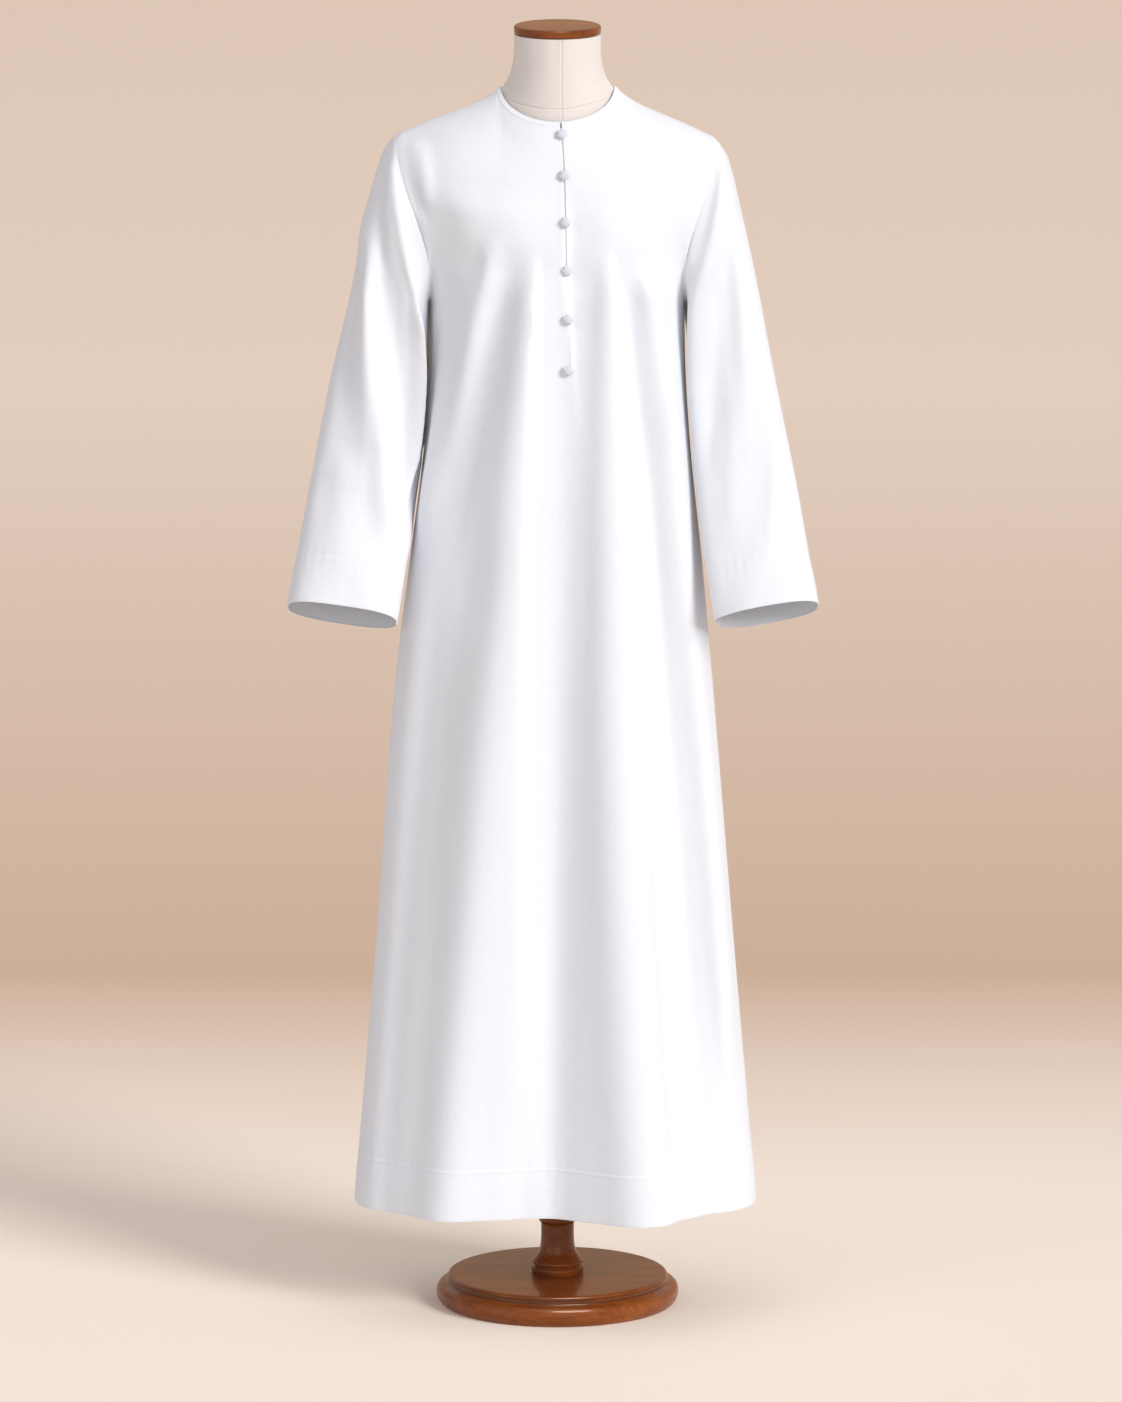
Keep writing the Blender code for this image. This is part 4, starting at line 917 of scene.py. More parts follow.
def panel_relief(face, columns, base):
    """How far a panel's points stand out of its plain surface: creases, hem, seams, and the front's slit."""
    z = base[..., 2]
    along = arc(base, 1)
    from_side = np.minimum(along, along[:, -1:] - along)
    from_top = arc(base[::-1], 0)[::-1]
    reach = SIDE_FREE + (ARMHOLE_FREE - SIDE_FREE) * ease((z - ARMPIT_Z) / SIDE_FREE)
    free = ease(from_side / reach)
    lower, upper = panel_rows()
    share = np.concatenate([0 * lower, upper])[:, None]
    rise = held_creases(face, columns[None, :], share, base) * free
    rise += np.where(z < HEM_Z + 2 * TURN_HEIGHT["hem"], turn_rise(z - HEM_Z, along, "hem"), 0)
    rise -= SEAM_DIP * (bell(from_side / SEAM_REACH) + EDGE_ROLL * bell((z - HEM_Z) / EDGE_REACH))
    rise -= SEAM_DIP * bell(from_top / SEAM_REACH) * (np.abs(columns) >= NECK_SHARE)
    if face == "front":
        middle = len(columns) // 2
        from_slit = along - (along[:, middle - 1 : middle] + along[:, middle : middle + 1]) / 2
        above = ease((z - SLIT_END_Z + SLIT_REACH) / (2 * SLIT_REACH))
        rise -= SLIT_DIP * bell(from_slit / SLIT_REACH) * above
        tape = bell((from_slit - TAPE_MIDDLE) / TAPE_HALF) * (1 - above)
        rise += TAPE_RISE * tape * ease((z - TAPE_END_Z) / TAPE_FADE)
    return rise


def robe_panel(face, cloth):
    """One panel as a closed thin shell. Gives the piece, its outer points and their directions out.

    Directions are kept level along the side and shoulder seams, so that front and back meet there.
    """
    columns = panel_columns(face)
    lower, upper = panel_rows()
    base = panel_grid(columns, lower, upper, face)
    out = -FACE_SIGN[face] * normals(base)
    shoulder = np.abs(columns) >= NECK_SHARE
    out[: len(lower) + 1, [0, -1], 1] = 0
    out[-1, shoulder, 1] = 0
    out = unit(out)
    outer = base + out * panel_relief(face, columns, base)[..., None]
    layers = 2 - ease((base[..., 2] - HEM_Z - TURN_HEIGHT["hem"]) / EDGE_REACH + 0.5)
    inner = outer - out * (THREAD * layers)[..., None]
    keep = np.ones((len(base) - 1, len(columns) - 1), bool)
    if face == "front":
        keep[base[:-1, len(columns) // 2, 2] > SLIT_END_Z, len(columns) // 2 - 1] = False
    middle = arc(base, 1)
    cut = np.stack([middle - middle[:, len(columns) // 2][:, None], arc(base, 0)], -1)
    piece = shell_piece("robe_" + face, outer, inner, cut, cloth, keep=keep)
    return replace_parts(piece, face), outer, out


def sleeve_shares(side, angles):
    """Rows down a sleeve: even ones, more at the armhole, then rows at set distances above the cuff's edge.

    The distances are made shares by each line's own length near the cuff, so the stitched turn is level.
    """
    near_cuff = 0.1
    last = sleeve_point(1.0, angles, side) - sleeve_point(1 - near_cuff, angles, side)
    length = np.linalg.norm(last, axis=-1)[None, :] / near_cuff
    turn = HEM_TURN + np.array(BY_TURN)
    even = np.arange(BY_EDGE[-1] + STEP_DOWN, HEM_TURN + BY_TURN[0] - STEP_DOWN / 2, STEP_DOWN)
    above = np.concatenate([[0.0], BY_EDGE, even, turn])[::-1]
    by_cuff = 1 - above[:, None] / length
    down = np.concatenate([[0.0], BY_ARMHOLE, np.linspace(BY_ARMHOLE[-1], 1, SLEEVE_DOWN + 2)[1:-1]])
    return np.concatenate([down[:, None] * by_cuff[:1], by_cuff])


def sleeve_angles():
    """Even lines round a sleeve, with more of them beside the underarm seam."""
    seam = np.array(BY_UNDERARM)
    even = np.arange(1, SLEEVE_AROUND) * 2 * math.pi / SLEEVE_AROUND
    clear = (even > seam[-1] + UNDERARM_GAP) & (even < 2 * math.pi - seam[-1] - UNDERARM_GAP)
    return np.concatenate([[0.0], seam, even[clear], 2 * math.pi - seam[::-1]])


def inner_fullness(share, angle, side):
    """Slack along a sleeve's hidden inner side, close beside the body: a bell across each of its lines."""
    rise = np.zeros_like(angle)
    for at, width, first, last, height in INNER_FULLNESS[side]:
        from_line = (np.degrees(angle) - at + 180) % 360 - 180
        fade = ease((share - first) / SLACK_IN) * ease((last - share) / SLACK_OUT)
        rise += height * bell(from_line / width) * fade
    return rise


def sleeve_relief(side, share, angle, base):
    """How far a sleeve's points stand out of its plain tube: folds, creases, the stitched cuff and seams."""
    x, y, z = np.moveaxis(base, -1, 0)
    down = arc(base, 0)
    above_cuff = down[-1:] - down
    round_it = arc(base, 1)
    free = ease(down / SLEEVE_FREE)
    rise = sleeve_rise(share, angle, side) + RIPPLE * ripple(x, y, z) * free
    front_half = ease(0.5 + np.sin(angle))
    rise += front_half * crease_rise(SLEEVE_CREASES[side], SIDE_SIGN[side] * x, z) * free
    rise += np.where(above_cuff < 2 * HEM_TURN, turn_rise(above_cuff, round_it, "cuff"), 0)
    from_seam = np.minimum(round_it, round_it[:, -1:] - round_it)
    seams = bell(from_seam / SEAM_REACH) + bell(down / SEAM_REACH)
    return rise - SEAM_DIP * (seams + EDGE_ROLL * bell(above_cuff / EDGE_REACH))


def set_back(side, angle, base, outer):
    """How far sideways each point goes back, so that folds bring no ring's inner front nearer to the body.

    A ring goes back by as much as they would bring it nearer, times the square of (1 + the angle's cosine)
    / 2: all the way at its inner edge and not at all at its outer one.
    """
    inner_front = (np.cos(angle) > 0) & (np.sin(angle) > BEFORE_SINE)
    inmost = [np.where(inner_front, SIDE_SIGN[side] * grid[..., 0], 1).min(axis=1) for grid in (base, outer)]
    pushed = np.maximum(inmost[0] - inmost[1], 0)[:, None]
    return SIDE_SIGN[side] * pushed * ((1 + np.cos(angle)) / 2) ** 2


def robe_sleeve(side, cloth):
    """One sleeve as a closed thin tube, its first ring tucked in under the armhole's edge."""
    angles = sleeve_angles()
    share = sleeve_shares(side, angles)
    angle = angles[None, :] + 0 * share
    base = sleeve_point(share, angle, side)
    base[..., 1] += SLEEVE_BACK * ease((share - HANG_FROM) / HANG_OVER)
    out = -SIDE_SIGN[side] * normals(base, wrap=True)
    outer = base + out * sleeve_relief(side, share, angle, base)[..., None]
    outer[..., 0] += set_back(side, angle, base, outer)
    outer += out * inner_fullness(share, angle, side)[..., None]
    tuck = outer[:1] - unit(base[1:2] - base[:1]) * SLEEVE_TUCK - out[:1] * TUCK_DEPTH
    outer = np.concatenate([tuck, outer])
    out = np.concatenate([out[:1], out])
    down = arc(base, 0)
    above_cuff = down[-1:] - down
    layers = 2 - ease((above_cuff - HEM_TURN) / EDGE_REACH + 0.5)
    layers = np.concatenate([layers[:1], layers])
    inner = outer - out * (THREAD * layers)[..., None]
    cut = np.stack([arc(base, 1), down], -1)
    cut = np.concatenate([cut[:1], cut])
    piece = shell_piece("robe_sleeve_" + side, outer, inner, cut, cloth, wrap=True)
    stitched = 1 + np.argmin(np.abs(above_cuff[:, 0] - HEM_TURN))
    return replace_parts(piece, "sleeve_" + side), outer[stitched], out[stitched]


def neck_loop(neck):
    """Points once round a neckline, from one edge of the slit to the other."""
    gap = BY_SLIT[0] / (CHEST_HALF * math.pi / 2)
    half = np.linspace(gap, NECK_SHARE, NECK_POINTS)
    shift = (1 - half / NECK_SHARE) * slit_shares()[1]
    back = np.linspace(NECK_SHARE, -NECK_SHARE, 2 * NECK_POINTS)[1:-1]
    stretches = ((half + shift, "front"), (back, "back"), (shift[::-1] - half[::-1], "front"))
    return np.concatenate([top_edge(columns, face, neck) for columns, face in stretches])


def neck_binding(cloth):
    """A folded band along the neck edge: a rounded flat section carried round it, open at the slit."""
    low = neck_loop(PANEL_NECK)
    width = neck_loop(BINDING_NECK) - low
    out = unit(np.cross(np.gradient(low, axis=0), width))
    a = np.arange(BINDING_SIDES) * 2 * math.pi / BINDING_SIDES
    wide = np.sign(np.cos(a)) * np.abs(np.cos(a)) ** 0.5
    across = BINDING_LOW + (BINDING_TOP - BINDING_LOW) * (1 + wide) / 2
    lift = BINDING_FLAT * BINDING_HALF * np.sign(np.sin(a)) * np.abs(np.sin(a)) ** 0.6
    lift -= BINDING_STITCH * bell((across - BINDING_STITCH_AT) / BINDING_STITCH_REACH) * (np.sin(a) > 0)
    rings = low[:, None] + width[:, None] * across[None, :, None] + out[:, None] * lift[None, :, None]
    piece = ringed_piece("neckline_binding", rings, cloth, sharp=60)
    line = low + width * BINDING_STITCH_AT + out * (BINDING_FLAT * BINDING_HALF - BINDING_STITCH)
    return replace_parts(piece, "neck_binding"), line, out


def underlap(cloth):
    """The strip behind the slit, a little inside the front."""
    reach = UNDERLAP_HALF / (CHEST_HALF * math.pi / 2)
    columns = np.linspace(-reach, reach, UNDERLAP_COLUMNS)
    upper = np.linspace(UNDERLAP_FROM, UNDERLAP_TO, UNDERLAP_ROWS)
    points = panel_grid(columns, np.array([HEM_Z]), upper, "front")[1:]
    out = normals(points)
    rise = held_creases("front", columns[None, :], upper[:, None], points)
    outer = points + out * (rise - UNDERLAP_DEPTH)[..., None]
    cut = np.stack([arc(outer, 1), arc(outer, 0)], -1)
    piece = shell_piece("slit_underlap", outer, outer - out * THREAD, cut, cloth)
    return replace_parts(piece, "front_underlap")


def chest_at(height):
    """The front's point and direction out where the slit's line crosses a height."""
    near = 0.02
    rows_below, rows_above = 120, 200
    columns = np.array([-near, 0.0, near])
    lower = np.linspace(BUTTON_HEIGHTS[-1] - near, ARMPIT_Z, rows_below)
    upper = np.linspace(0, 1, rows_above)
    grid = np.delete(panel_grid(columns, lower, upper, "front"), len(lower), axis=0)
    share = np.concatenate([0 * lower, upper[1:]])[:, None]
    out = normals(grid)
    grid = grid + out * held_creases("front", columns[None, :], share, grid)[..., None]
    order = grid[:, 1, 2]
    point = np.array([np.interp(height, order, grid[:, 1, k]) for k in range(3)])
    return point, unit(np.array([np.interp(height, order, out[:, 1, k]) for k in range(3)]))


def button(number, height, cloth):
    """A cloth-covered dome: a turned profile that swells in soft gathers, which twist towards the crown."""
    point, out = chest_at(height)
    side = unit(np.cross(out, (0.0, 0.0, 1.0)))
    up = np.cross(side, out)
    t = np.linspace(0, 1, BUTTON_RINGS)[:, None]
    a = (np.arange(BUTTON_SIDES) * 2 * math.pi / BUTTON_SIDES)[None, :]
    turn = np.radians(BUTTON_FROM + (90 - BUTTON_FROM) * t)
    twisted = a + BUTTON_TWIST * t + number
    gathers = BUTTON_GATHER * np.cos(BUTTON_GATHERS * twisted) * np.sin(math.pi * t)
    uneven = BUTTON_GATHER / 2 * np.cos(2 * a + number)
    reach = BUTTON_SIZE * BUTTON_RADIUS * np.maximum(np.cos(turn), BUTTON_TIP) * (1 + gathers + uneven)
    rise = BUTTON_HEIGHT * BUTTON_RISE * (np.sin(turn) + BUTTON_SUNK) / (1 + BUTTON_SUNK)
    rise = rise + BUTTON_RISE * gathers
    round_it = (reach * np.cos(a))[..., None] * side + (reach * np.sin(a))[..., None] * up
    rings = point + out * rise[..., None] + round_it
    piece = ringed_piece(f"cloth_button_{number}", rings, cloth, sharp=60)
    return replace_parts(piece, f"button_{number}")


def stitch_row(name, lines, thread):
    """Small spindles of thread at even steps along lines of points: each has six points and eight faces."""
    sets = []
    for points, out in lines:
        length = arc(points, 0)
        middles = np.arange(STITCH_STEP, length[-1] - STITCH_STEP / 2, STITCH_STEP)
        place = np.stack([np.interp(middles, length, points[:, k]) for k in range(3)], -1)
        up = unit(np.stack([np.interp(middles, length, out[:, k]) for k in range(3)], -1))
        along = unit(np.gradient(place, axis=0))
        side = np.cross(along, up)
        tips = along * STITCH_LENGTH / 2
        low = up * STITCH_THICK / 4
        half = side * STITCH_THICK / 2
        top = up * STITCH_THICK / 2
        girth = [place + half, place + top, place - half, place - top]
        sets.append(np.stack([place - tips - low, *girth, place + tips - low], 1))
    corners = np.concatenate(sets)
    shape = np.array([(0, 1, 2), (0, 2, 3), (0, 3, 4), (0, 4, 1), (5, 2, 1), (5, 3, 2), (5, 4, 3), (5, 1, 4)])
    faces = (shape[None] + 6 * np.arange(len(corners))[:, None, None]).reshape(-1, 3)
    vertices = corners.reshape(-1, 3)
    return mesh_piece(name, vertices, [facing_out(vertices, faces)], thread, sharp=80)


# ---------------------------------------------------------------- the dress form and its stand


def middle_seam(x):
    """The cover's middle seam, a fine groove with the turned edges standing out beside it."""
    beside = (np.abs(x) - SEAM_PRESS_AT * SEAM_HALF) / SEAM_HALF
    return -SEAM_GROOVE * bell(x / SEAM_HALF) + SEAM_PRESS * bell(beside)


def form_columns():
    """Even columns round half of the form, more beside the middle seam."""
    seam = math.asin(NECK_SEAM_X / FORM_NECK[0]) / (math.pi / 2) * NECK_SHARE
    neck = np.linspace(-NECK_SHARE, NECK_SHARE, 2 * FORM_NECK_STEPS + 1)
    close = seam + np.array(BY_FORM_SEAM) * NECK_SHARE
    neck = neck[(neck < close[0] - FORM_SEAM_GAP) | (neck > close[-1] + FORM_SEAM_GAP)]
    shoulder = np.linspace(NECK_SHARE, 1, FORM_SHOULDER_STEPS + 1)[1:]
    return np.sort(np.concatenate([-shoulder, neck, close, shoulder]))


def form_half(face, columns):
    """Half of the torso: ovals up to the chest, then the robe's own shape less a clearance."""
    heights = np.concatenate([FORM_LOW, np.linspace(FORM_LOW[-1], ARMPIT_Z, FORM_ROWS)[1:-1]])
    low, _, _ = oval(columns[None, :] + 0 * heights[:, None], heights[:, None] + 0 * columns, face, FORM)
    v = np.linspace(0, 1, YOKE_ROWS)[:, None] + 0 * columns[None, :]
    u = columns[None, :] + 0 * v
    points = yoke(u, v, face, FORM_NECK)
    below, _, _ = oval(u[:1], ARMPIT_Z - 0.02 + 0 * u[:1], face, BODY)
    out = -FACE_SIGN[face] * normals(np.concatenate([below, points]))[1:]
    out[0, [0, -1], 1] = 0
    out[-1, np.abs(columns) >= NECK_SHARE - SAME_PLACE, 1] = 0
    out = unit(out)
    return np.concatenate([low, points - out * (CLOTH_ROOM + form_room(u, v))[..., None]])


def neck_rings(start):
    """The form's neck: its foot's own ring drawn in to a circle, flared at the foot, with its two seams.

    The rows run close together along the seam round the neck's foot, which rises from the sides to the front.
    """
    radius = np.hypot(start[:, 0], start[:, 1])[None, :]
    height = NECK_TOP_Z - start[None, :, 2]
    turn = np.degrees(np.arctan2(np.abs(start[:, 0] - NECK_SEAM_X), -start[:, 1]))[None, :]
    seam = NECK_SEAM_UP * (1 - np.clip(turn / NECK_SEAM_SPREAD, 0, 1) ** 3)
    line = np.maximum(seam, NECK_ROWS_FROM)
    near = np.array(BY_NECK_SEAM)[:, None] / height
    below = np.linspace(0, 1, NECK_ROWS_BELOW)[1:-1, None] * (line + near[:1])
    above = line + near[-1:] + np.linspace(0, 1, NECK_ROWS_ABOVE)[1:, None] * (1 - line - near[-1:])
    steps = np.concatenate([below, line + near, above])
    size = NECK_TOP_RADIUS + (radius - NECK_TOP_RADIUS) * (1 - steps) ** NECK_FLARE
    from_seam = (steps - line) * height
    shown = ease((seam - NECK_ROWS_FROM) / NECK_ROWS_FROM)
    foot_seam = NECK_STEP * ease(-from_seam / SEAM_HALF) - SEAM_GROOVE * bell(from_seam / SEAM_HALF)
    size = size + foot_seam * shown
    size = size + middle_seam(start[None, :, 0] - NECK_SEAM_X) * (start[None, :, 1] < 0)
    wave = np.radians(turn) * np.sign(start[None, :, 0])
    size = size + NECK_RIPPLE * np.sin(9 * wave + 3 * np.sin(2 * wave)) * bell((1 - steps) / 0.35)
    level = start[None, :, 2] + height * steps
    return np.stack([start[None, :, 0] / radius * size, start[None, :, 1] / radius * size, level], -1)


def dress_form(linen):
    """Torso and neck as one closed cover: rings up to the chest, joined shoulders, then the neck's rings."""
    columns = form_columns()
    front = form_half("front", columns)
    back = form_half("back", columns)
    shoulder = np.abs(columns) >= NECK_SHARE - SAME_PLACE
    ridge = (front[-1, shoulder] + back[-1, shoulder]) / 2 * (1, 0, 1)
    front[-1, shoulder] = ridge
    back[-1, shoulder] = ridge
    rings = np.concatenate([front, back[:, ::-1]], axis=1)
    rows, count = rings.shape[:2]
    index = np.arange(rows * count).reshape(rows, count)
    near = np.flatnonzero(np.abs(columns) <= NECK_SHARE + SAME_PLACE)
    loop = index[-1][np.concatenate([near, count - 1 - near[::-1][1:-1]])]
    neck = neck_rings(rings.reshape(-1, 3)[loop])
    steps = rows * count + np.arange(neck.shape[0] * neck.shape[1]).reshape(neck.shape[:2])
    bottom = rows * count + steps.size
    middles = [rings[0].mean(0), neck[-1].mean(0)]
    vertices = np.concatenate([rings.reshape(-1, 3), neck.reshape(-1, 3), middles])
    quads = [band(index[k], index[k + 1]) for k in range(rows - 1)] + [band(loop, steps[0])]
    quads += [band(steps[k], steps[k + 1]) for k in range(len(steps) - 1)]
    ends = np.concatenate([fan(index[0], bottom, True), fan(steps[-1], bottom + 1, False)])
    vertices, sets = weld(vertices, [np.concatenate(quads), ends])
    piece = mesh_piece("form_cover", vertices, sets, linen, sharp=60)
    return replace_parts(piece, "form_body")


def smooth_profile(profile, steps):
    """More points on the smooth curve through a profile's own, by the length along it."""
    points = np.array(profile)
    length = arc(points, 0)
    at = np.concatenate([np.linspace(a, b, steps, endpoint=False) for a, b in zip(length[:-1], length[1:])])
    at = np.concatenate([at, length[-1:]])
    return np.stack([through(length, points[:, k], at) for k in range(2)], -1)


def turned_piece(name, node, profile, sides, wood):
    """A solid of revolution about the Z axis from (radius, height) pairs."""
    angles = np.arange(sides) * 2 * math.pi / sides
    radius, height = np.array(profile).T
    x = radius[:, None] * np.cos(angles)
    y = radius[:, None] * np.sin(angles)
    rings = np.stack([x, y, height[:, None] + 0 * angles], -1)
    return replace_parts(ringed_piece(name, rings, wood, sharp=35), node)


def cap_profile():
    """The cap's outside, from the top: a flat disc whose two rims are quarter circles."""
    low = NECK_TOP_Z + JOIN_GAP
    high = low + CAP_HEIGHT
    rim = CAP_RADIUS - CAP_ROUND
    bend = np.radians(np.linspace(0, 90, CAP_BENDS))
    over = rim + CAP_ROUND * np.sin(bend)
    upper = np.stack([over, high - CAP_ROUND + CAP_ROUND * np.cos(bend)], -1)
    lower = np.stack([over, low + CAP_ROUND - CAP_ROUND * np.cos(bend)], -1)[::-1]
    return np.concatenate([[(rim - CAP_LAND, high)], upper, lower, [(rim - CAP_LAND, low)]])


def wooden_stand(wood):
    """The cap on the neck, the post under the torso, its turned foot and the round base."""
    post = [(POST_RADIUS, FORM_BOTTOM_Z - JOIN_GAP), (POST_RADIUS, FOOT_TOP_Z + JOIN_GAP)]
    flat = [(PLATE_PROFILE[0][0] - PLATE_LAND, PLATE_TOP_Z)]
    plate = np.concatenate([flat, smooth_profile(PLATE_PROFILE, PROFILE_STEPS)])
    turned_piece("neck_cap_top", "neck_cap", cap_profile(), CAP_SIDES, wood)
    turned_piece("stand_post", "post", post, POST_SIDES, wood)
    turned_piece("stand_foot", "post_foot", smooth_profile(FOOT_PROFILE, PROFILE_STEPS), FOOT_SIDES, wood)
    turned_piece("stand_base", "base_plate", plate, PLATE_SIDES, wood)


# ---------------------------------------------------------------- finishes


class Value:
    """The output of a node. The operators add Math nodes."""

    def __init__(self, nodes, socket):
        self.nodes = nodes
        self.socket = socket

    def __add__(self, other):
        return self.nodes.maths("ADD", self, other)

    def __radd__(self, other):
        return self.nodes.maths("ADD", other, self)

    def __sub__(self, other):
        return self.nodes.maths("SUBTRACT", self, other)

    def __rsub__(self, other):
        return self.nodes.maths("SUBTRACT", other, self)

    def __mul__(self, other):
        return self.nodes.maths("MULTIPLY", self, other)

    def __rmul__(self, other):
        return self.nodes.maths("MULTIPLY", other, self)

    def __truediv__(self, other):
        return self.nodes.maths("DIVIDE", self, other)


class Nodes:
    """A tree of nodes, and short ways to add the kinds that are used."""

    def __init__(self, tree):
        self.tree = tree

    def node(self, kind, settings, sockets, output=0):
        """Adds a node: first its settings, a ramp's stops among them, then its sockets' values or links."""
        made = self.tree.nodes.new(kind)
        for name, value in settings.items():
            if name == "stops":
                self.set_stops(made.color_ramp, value)
            else:
                setattr(made, name, value)
        for key, value in sockets.items():
            self.give(made.inputs[key], value)
        return Value(self, made.outputs[output])

    def set_stops(self, ramp, stops):
        """A ramp's stops, as (place, colour) pairs."""
        while len(ramp.elements) < len(stops):
            ramp.elements.new(0.5)
        for element, (place, colour) in zip(ramp.elements, stops):
            element.position = place
            element.color = (*colour, 1)

    def give(self, socket, value):
        """A plain value or a link."""
        if isinstance(value, Value):
            self.tree.links.new(value.socket, socket)
        else:
            socket.default_value = value

    def maths(self, operation, *values):
        return self.node("ShaderNodeMath", {"operation": operation}, dict(enumerate(values)))

    def place(self):
        """Object coordinates, in metres."""
        return self.node("ShaderNodeTexCoord", {}, {}, "Object")

    def stretch(self, place, scale):
        """Coordinates with their own scale along each axis."""
        return self.node("ShaderNodeMapping", {}, {"Vector": place, "Scale": scale})

    def noise(self, place, scale, detail=2.0, roughness=0.5):
        """Cloudy noise, 0 to 1."""
        sockets = {"Vector": place, "Scale": scale, "Detail": detail, "Roughness": roughness}
        return self.node("ShaderNodeTexNoise", {}, sockets)

    def ramp(self, value, stops):
        return self.node("ShaderNodeValToRGB", {"stops": stops}, {0: value})

    def mix(self, share, first, second):
        """A colour between two, by a share from 0 to 1."""
        first, second = ((*c, 1) if isinstance(c, tuple) else c for c in (first, second))
        return self.node("ShaderNodeMix", {"data_type": "RGBA"}, {0: share, 6: first, 7: second}, 2)

    def bump(self, height, distance, strength=1.0, before=None):
        """The surface's normal, tilted by a height of 0 to 1 over a distance in metres."""
        sockets = {"Height": height, "Distance": distance, "Strength": strength}
        if before is not None:
            sockets["Normal"] = before
        return self.node("ShaderNodeBump", {}, sockets)

    def weave(self, place, pitch):
        """Plain weave: threads a pitch apart that pass over and under, from crossed sine waves."""
        x = self.node("ShaderNodeSeparateXYZ", {}, {0: place}, 0)
        y = self.node("ShaderNodeSeparateXYZ", {}, {0: place}, 1)
        turn = 2 * math.pi / pitch
        return 0.5 + 0.25 * self.maths("SINE", x * turn) + 0.25 * self.maths("SINE", y * turn)


class Finish(Nodes):
    """One material: a Principled shader and the nodes that feed it."""

    def __init__(self, name, **plain):
        self.material = bpy.data.materials.new(name)
        self.material.use_nodes = True
        super().__init__(self.material.node_tree)
        self.shader = self.tree.nodes["Principled BSDF"]
        self.feed(**plain)

    def feed(self, **sockets):
        """Sets or links the shader's own sockets, named with underscores for spaces."""
        for name, value in sockets.items():
            self.give(self.shader.inputs[name.replace("_", " ")], value)


def cotton(name, pale, deep):
    """White cotton: fine plain weave, faint slubs and small dents, soft short sheen."""
    finish = Finish(name, Roughness=0.86, Sheen_Weight=0.12, Sheen_Roughness=0.45, Specular_IOR_Level=0.25)
    place = finish.place()
    cut = finish.node("ShaderNodeUVMap", {"uv_map": "cut"}, {})
    slub = finish.noise(finish.stretch(cut, COTTON_SLUBS), 1.0)
    cloud = finish.noise(place, COTTON_CLOUDS, 3.0)
    finish.feed(Base_Color=finish.mix(slub * 0.35 + cloud * 0.65, deep, pale))
    dents = finish.bump(finish.noise(place, COTTON_DENTS, 3.0), DENT_DEPTH)
    finish.feed(Normal=finish.bump(finish.weave(cut, COTTON_PITCH), COTTON_PITCH / 4, 0.5, dents))
    finish.feed(Roughness=0.80 + slub * 0.12)
    return finish.material


def linen():
    """Natural linen: coarser threads of uneven thickness and tone."""
    finish = Finish("natural_linen", Sheen_Weight=0.1, Sheen_Roughness=0.5, Specular_IOR_Level=0.25)
    place = finish.place()
    upright = finish.noise(finish.stretch(place, LINEN_UPRIGHT), 1.0, 1.0)
    level = finish.noise(finish.stretch(place, LINEN_LEVEL), 1.0, 1.0)
    cloud = finish.noise(place, LINEN_CLOUDS, 3.0)
    finish.feed(Base_Color=finish.mix(upright * 0.35 + level * 0.35 + cloud * 0.3, LINEN_DEEP, LINEN_PALE))
    finish.feed(Roughness=0.84 + level * 0.1)
    finish.feed(Normal=finish.bump(upright + level, LINEN_DEPTH, 0.6))
    return finish.material


def varnished_wood():
    """Reddish-brown stained wood: fine long grain and soft bands under a clear gloss coat."""
    varnish = {"Coat_Weight": 0.45, "Coat_Roughness": 0.10, "Coat_IOR": 1.45}
    finish = Finish("varnished_wood", Specular_IOR_Level=0.25, Specular_Tint=WOOD_GLINT, **varnish)
    place = finish.place()
    fine = finish.noise(finish.stretch(place, WOOD_GRAIN), 1.0, 4.0, 0.6)
    band_tone = finish.noise(finish.stretch(place, WOOD_BANDS), 1.0, 3.0)
    tone = fine * 0.45 + band_tone * 0.55
    bare = finish.ramp(tone, WOOD_TONES)
    across = finish.node("ShaderNodeVectorMath", {"operation": "MULTIPLY"}, {0: place, 1: (1.0, 1.0, 0.0)})
    from_post = finish.node("ShaderNodeVectorMath", {"operation": "LENGTH"}, {0: across}, 1)
    # a narrow ring in the groove round the plate is darker
    ring = finish.maths("ABSOLUTE", from_post - PLATE_GROOVE_RING) / PLATE_GROOVE_HALF
    groove = finish.maths("MAXIMUM", 1 - ring, 0.0)
    finish.feed(Base_Color=finish.mix(groove, bare, PLATE_GROOVE_DARK))
    finish.feed(Roughness=0.34 + fine * 0.14)
    finish.feed(Normal=finish.bump(fine, WOOD_DEPTH, 0.35))
    return finish.material


def thread_finish():
    """White sewing thread, a little glossier than the cloth."""
    finish = Finish("white_thread", Roughness=0.6, Specular_IOR_Level=0.35)
    tone = finish.noise(finish.place(), THREAD_FLECKS)
    finish.feed(Base_Color=finish.mix(tone, THREAD_DEEP, THREAD_PALE))
    return finish.material


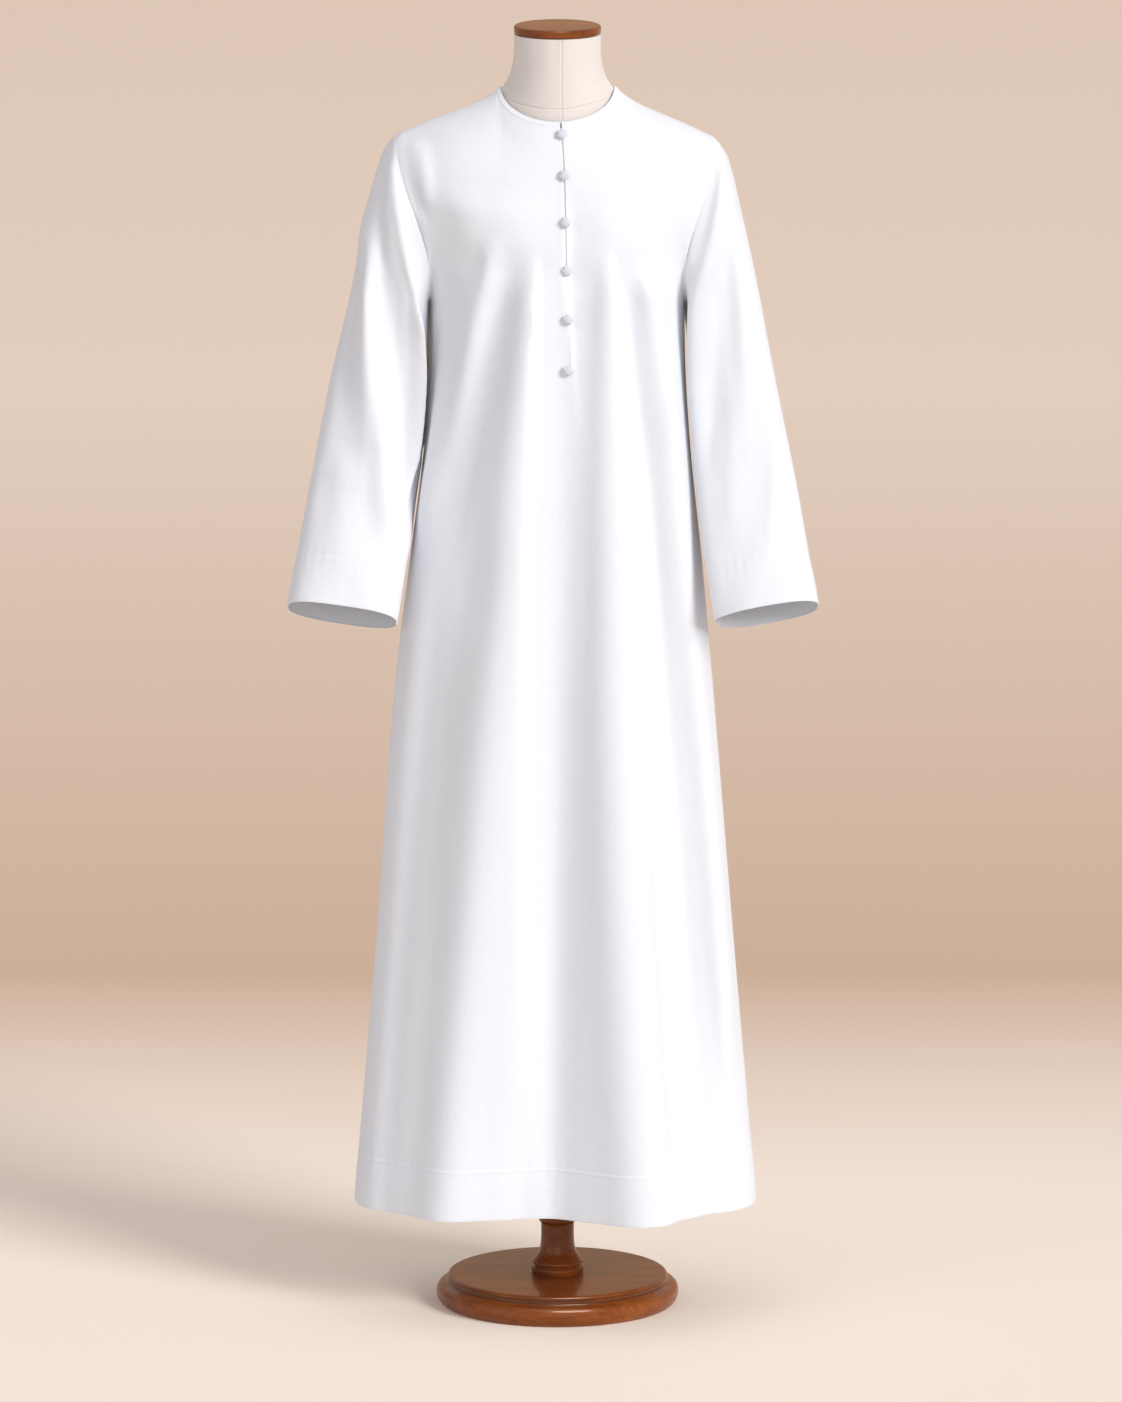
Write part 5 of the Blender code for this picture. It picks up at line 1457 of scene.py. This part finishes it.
def studio_floor():
    """A plain pale warm paper floor, far wider than the view, its tone graded softly behind the part as
    painted shade.

    It throws no colour of its own on the cloth, and it gives off a faint painted light of its own.
    """
    mesh = bpy.data.meshes.new("studio_floor")
    corners = ((-1, -1), (1, -1), (1, 1), (-1, 1))
    mesh.from_pydata([(FLOOR_HALF * x, FLOOR_HALF * y, 0.0) for x, y in corners], [], [(0, 1, 2, 3)])
    # a faint painted light from the paper itself
    glow = {"Emission_Color": FLOOR_GLOW, "Emission_Strength": FLOOR_GLOW_STRENGTH}
    finish = Finish("floor_paper", Roughness=0.9, Specular_IOR_Level=0.1, **glow)
    back = finish.node("ShaderNodeSeparateXYZ", {}, {0: finish.place()}, 1)
    first, last = FLOOR_PAINTED_SHADE[0][0], FLOOR_PAINTED_SHADE[-1][0]
    deep, pale = np.array(FLOOR_SHADED_TONE), np.array(FLOOR_LIT_TONE)
    stops = [
        ((place - first) / (last - first), deep + share * (pale - deep)) for place, share in FLOOR_PAINTED_SHADE
    ]
    # painted shade: the paper's colour darkens with distance behind the part, deepest where it seems to bend
    # up
    share = finish.node("ShaderNodeMapRange", {}, {0: back, 1: first, 2: last, 3: 0.0, 4: 1.0})
    finish.feed(Base_Color=finish.ramp(share, stops))
    mesh.materials.append(finish.material)
    floor = bpy.data.objects.new("studio_floor", mesh)
    bpy.context.scene.collection.objects.link(floor)
    floor.visible_diffuse = False


# ---------------------------------------------------------------- camera and light


def aim(name, data, towards, place=(0, 0, 0)):
    """A lamp or camera that looks along a direction."""
    made = bpy.data.objects.new(name, data)
    made.location = place
    made.rotation_euler = Vector(towards).to_track_quat("-Z", "Y").to_euler()
    bpy.context.scene.collection.objects.link(made)
    return made


def lamp(name, strength, spread, towards, colour, lights):
    """A far lamp of a given strength, as wide in the sky as its spread in degrees.

    One that is only for the varnish's glints stands high, so that the flat tops don't mirror it.
    """
    light = bpy.data.lights.new(name, "SUN")
    light.energy = strength
    light.angle = math.radians(spread)
    light.color = colour
    made = aim(name, light, towards)
    made.visible_glossy = lights != "diffuse"
    made.visible_diffuse = lights != "glossy"


def studio_room():
    """Soft light from all round, graded by height, with its own grading behind the part, warm low down."""
    world = bpy.data.worlds.new("studio")
    world.use_nodes = True
    nodes = Nodes(world.node_tree)
    way = nodes.node("ShaderNodeTexCoord", {}, {}, "Generated")
    up = nodes.node("ShaderNodeSeparateXYZ", {}, {0: way}, 2)
    back = nodes.node("ShaderNodeSeparateXYZ", {}, {0: way}, 1)
    height = nodes.node("ShaderNodeMapRange", {}, {0: up, 1: -1.0})
    behind = nodes.node("ShaderNodeMapRange", {}, {0: back, 1: ROOM_BACK_FROM, 2: ROOM_BACK_TO})
    tone = nodes.mix(behind, nodes.ramp(height, ROOM_ROUND), nodes.ramp(height, ROOM_BACK))
    nodes.give(world.node_tree.nodes["Background"].inputs["Color"], tone)
    bpy.context.scene.world = world


def camera_and_light():
    scene = bpy.context.scene
    camera = bpy.data.cameras.new("camera")
    camera.lens = LENS
    camera.clip_end = 200.0
    down = math.radians(CAMERA_DOWN)
    scene.camera = aim("camera", camera, (0, math.cos(down), -math.sin(down)), CAMERA_PLACE)
    for row in LAMPS:
        lamp(*row)
    studio_room()
    scene.view_settings.view_transform = "Standard"


# ---------------------------------------------------------------- the whole


def main():
    camera_and_light()
    studio_floor()
    cloth = cotton("white_cotton", COTTON_PALE, COTTON_DEEP)
    thread = thread_finish()
    form = dress_form(linen())
    wooden_stand(varnished_wood())
    front, front_points, front_out = robe_panel("front", cloth)
    back, back_points, back_out = robe_panel("back", cloth)
    stitched = np.argmin(np.abs(panel_rows()[0] - HEM_Z - TURN_HEIGHT["hem"]))
    hem_lines = [(front_points[stitched], front_out[stitched]), (back_points[stitched], back_out[stitched])]
    hem_stitches = stitch_row("hem_stitches", hem_lines, thread)
    binding, line, out = neck_binding(cloth)
    neck_stitches = stitch_row("neckline_stitches", [(line, out)], thread)
    strip = underlap(cloth)
    # a greyer copy of the cotton for the buttons: painted shade
    knot = cotton("button_cotton_painted_shade", SHADED_KNOT_PALE, SHADED_KNOT_DEEP)
    buttons = [button(number, height, knot) for number, height in enumerate(BUTTON_HEIGHTS, 1)]
    for side in SIDE_SIGN:
        sleeve, cuff, cuff_out = robe_sleeve(side, cloth)
        sewn = [stitch_row(f"cuff_{side}_stitches", [(cuff, cuff_out)], thread)]
    sewn = [hem_stitches, neck_stitches, *buttons]


main()
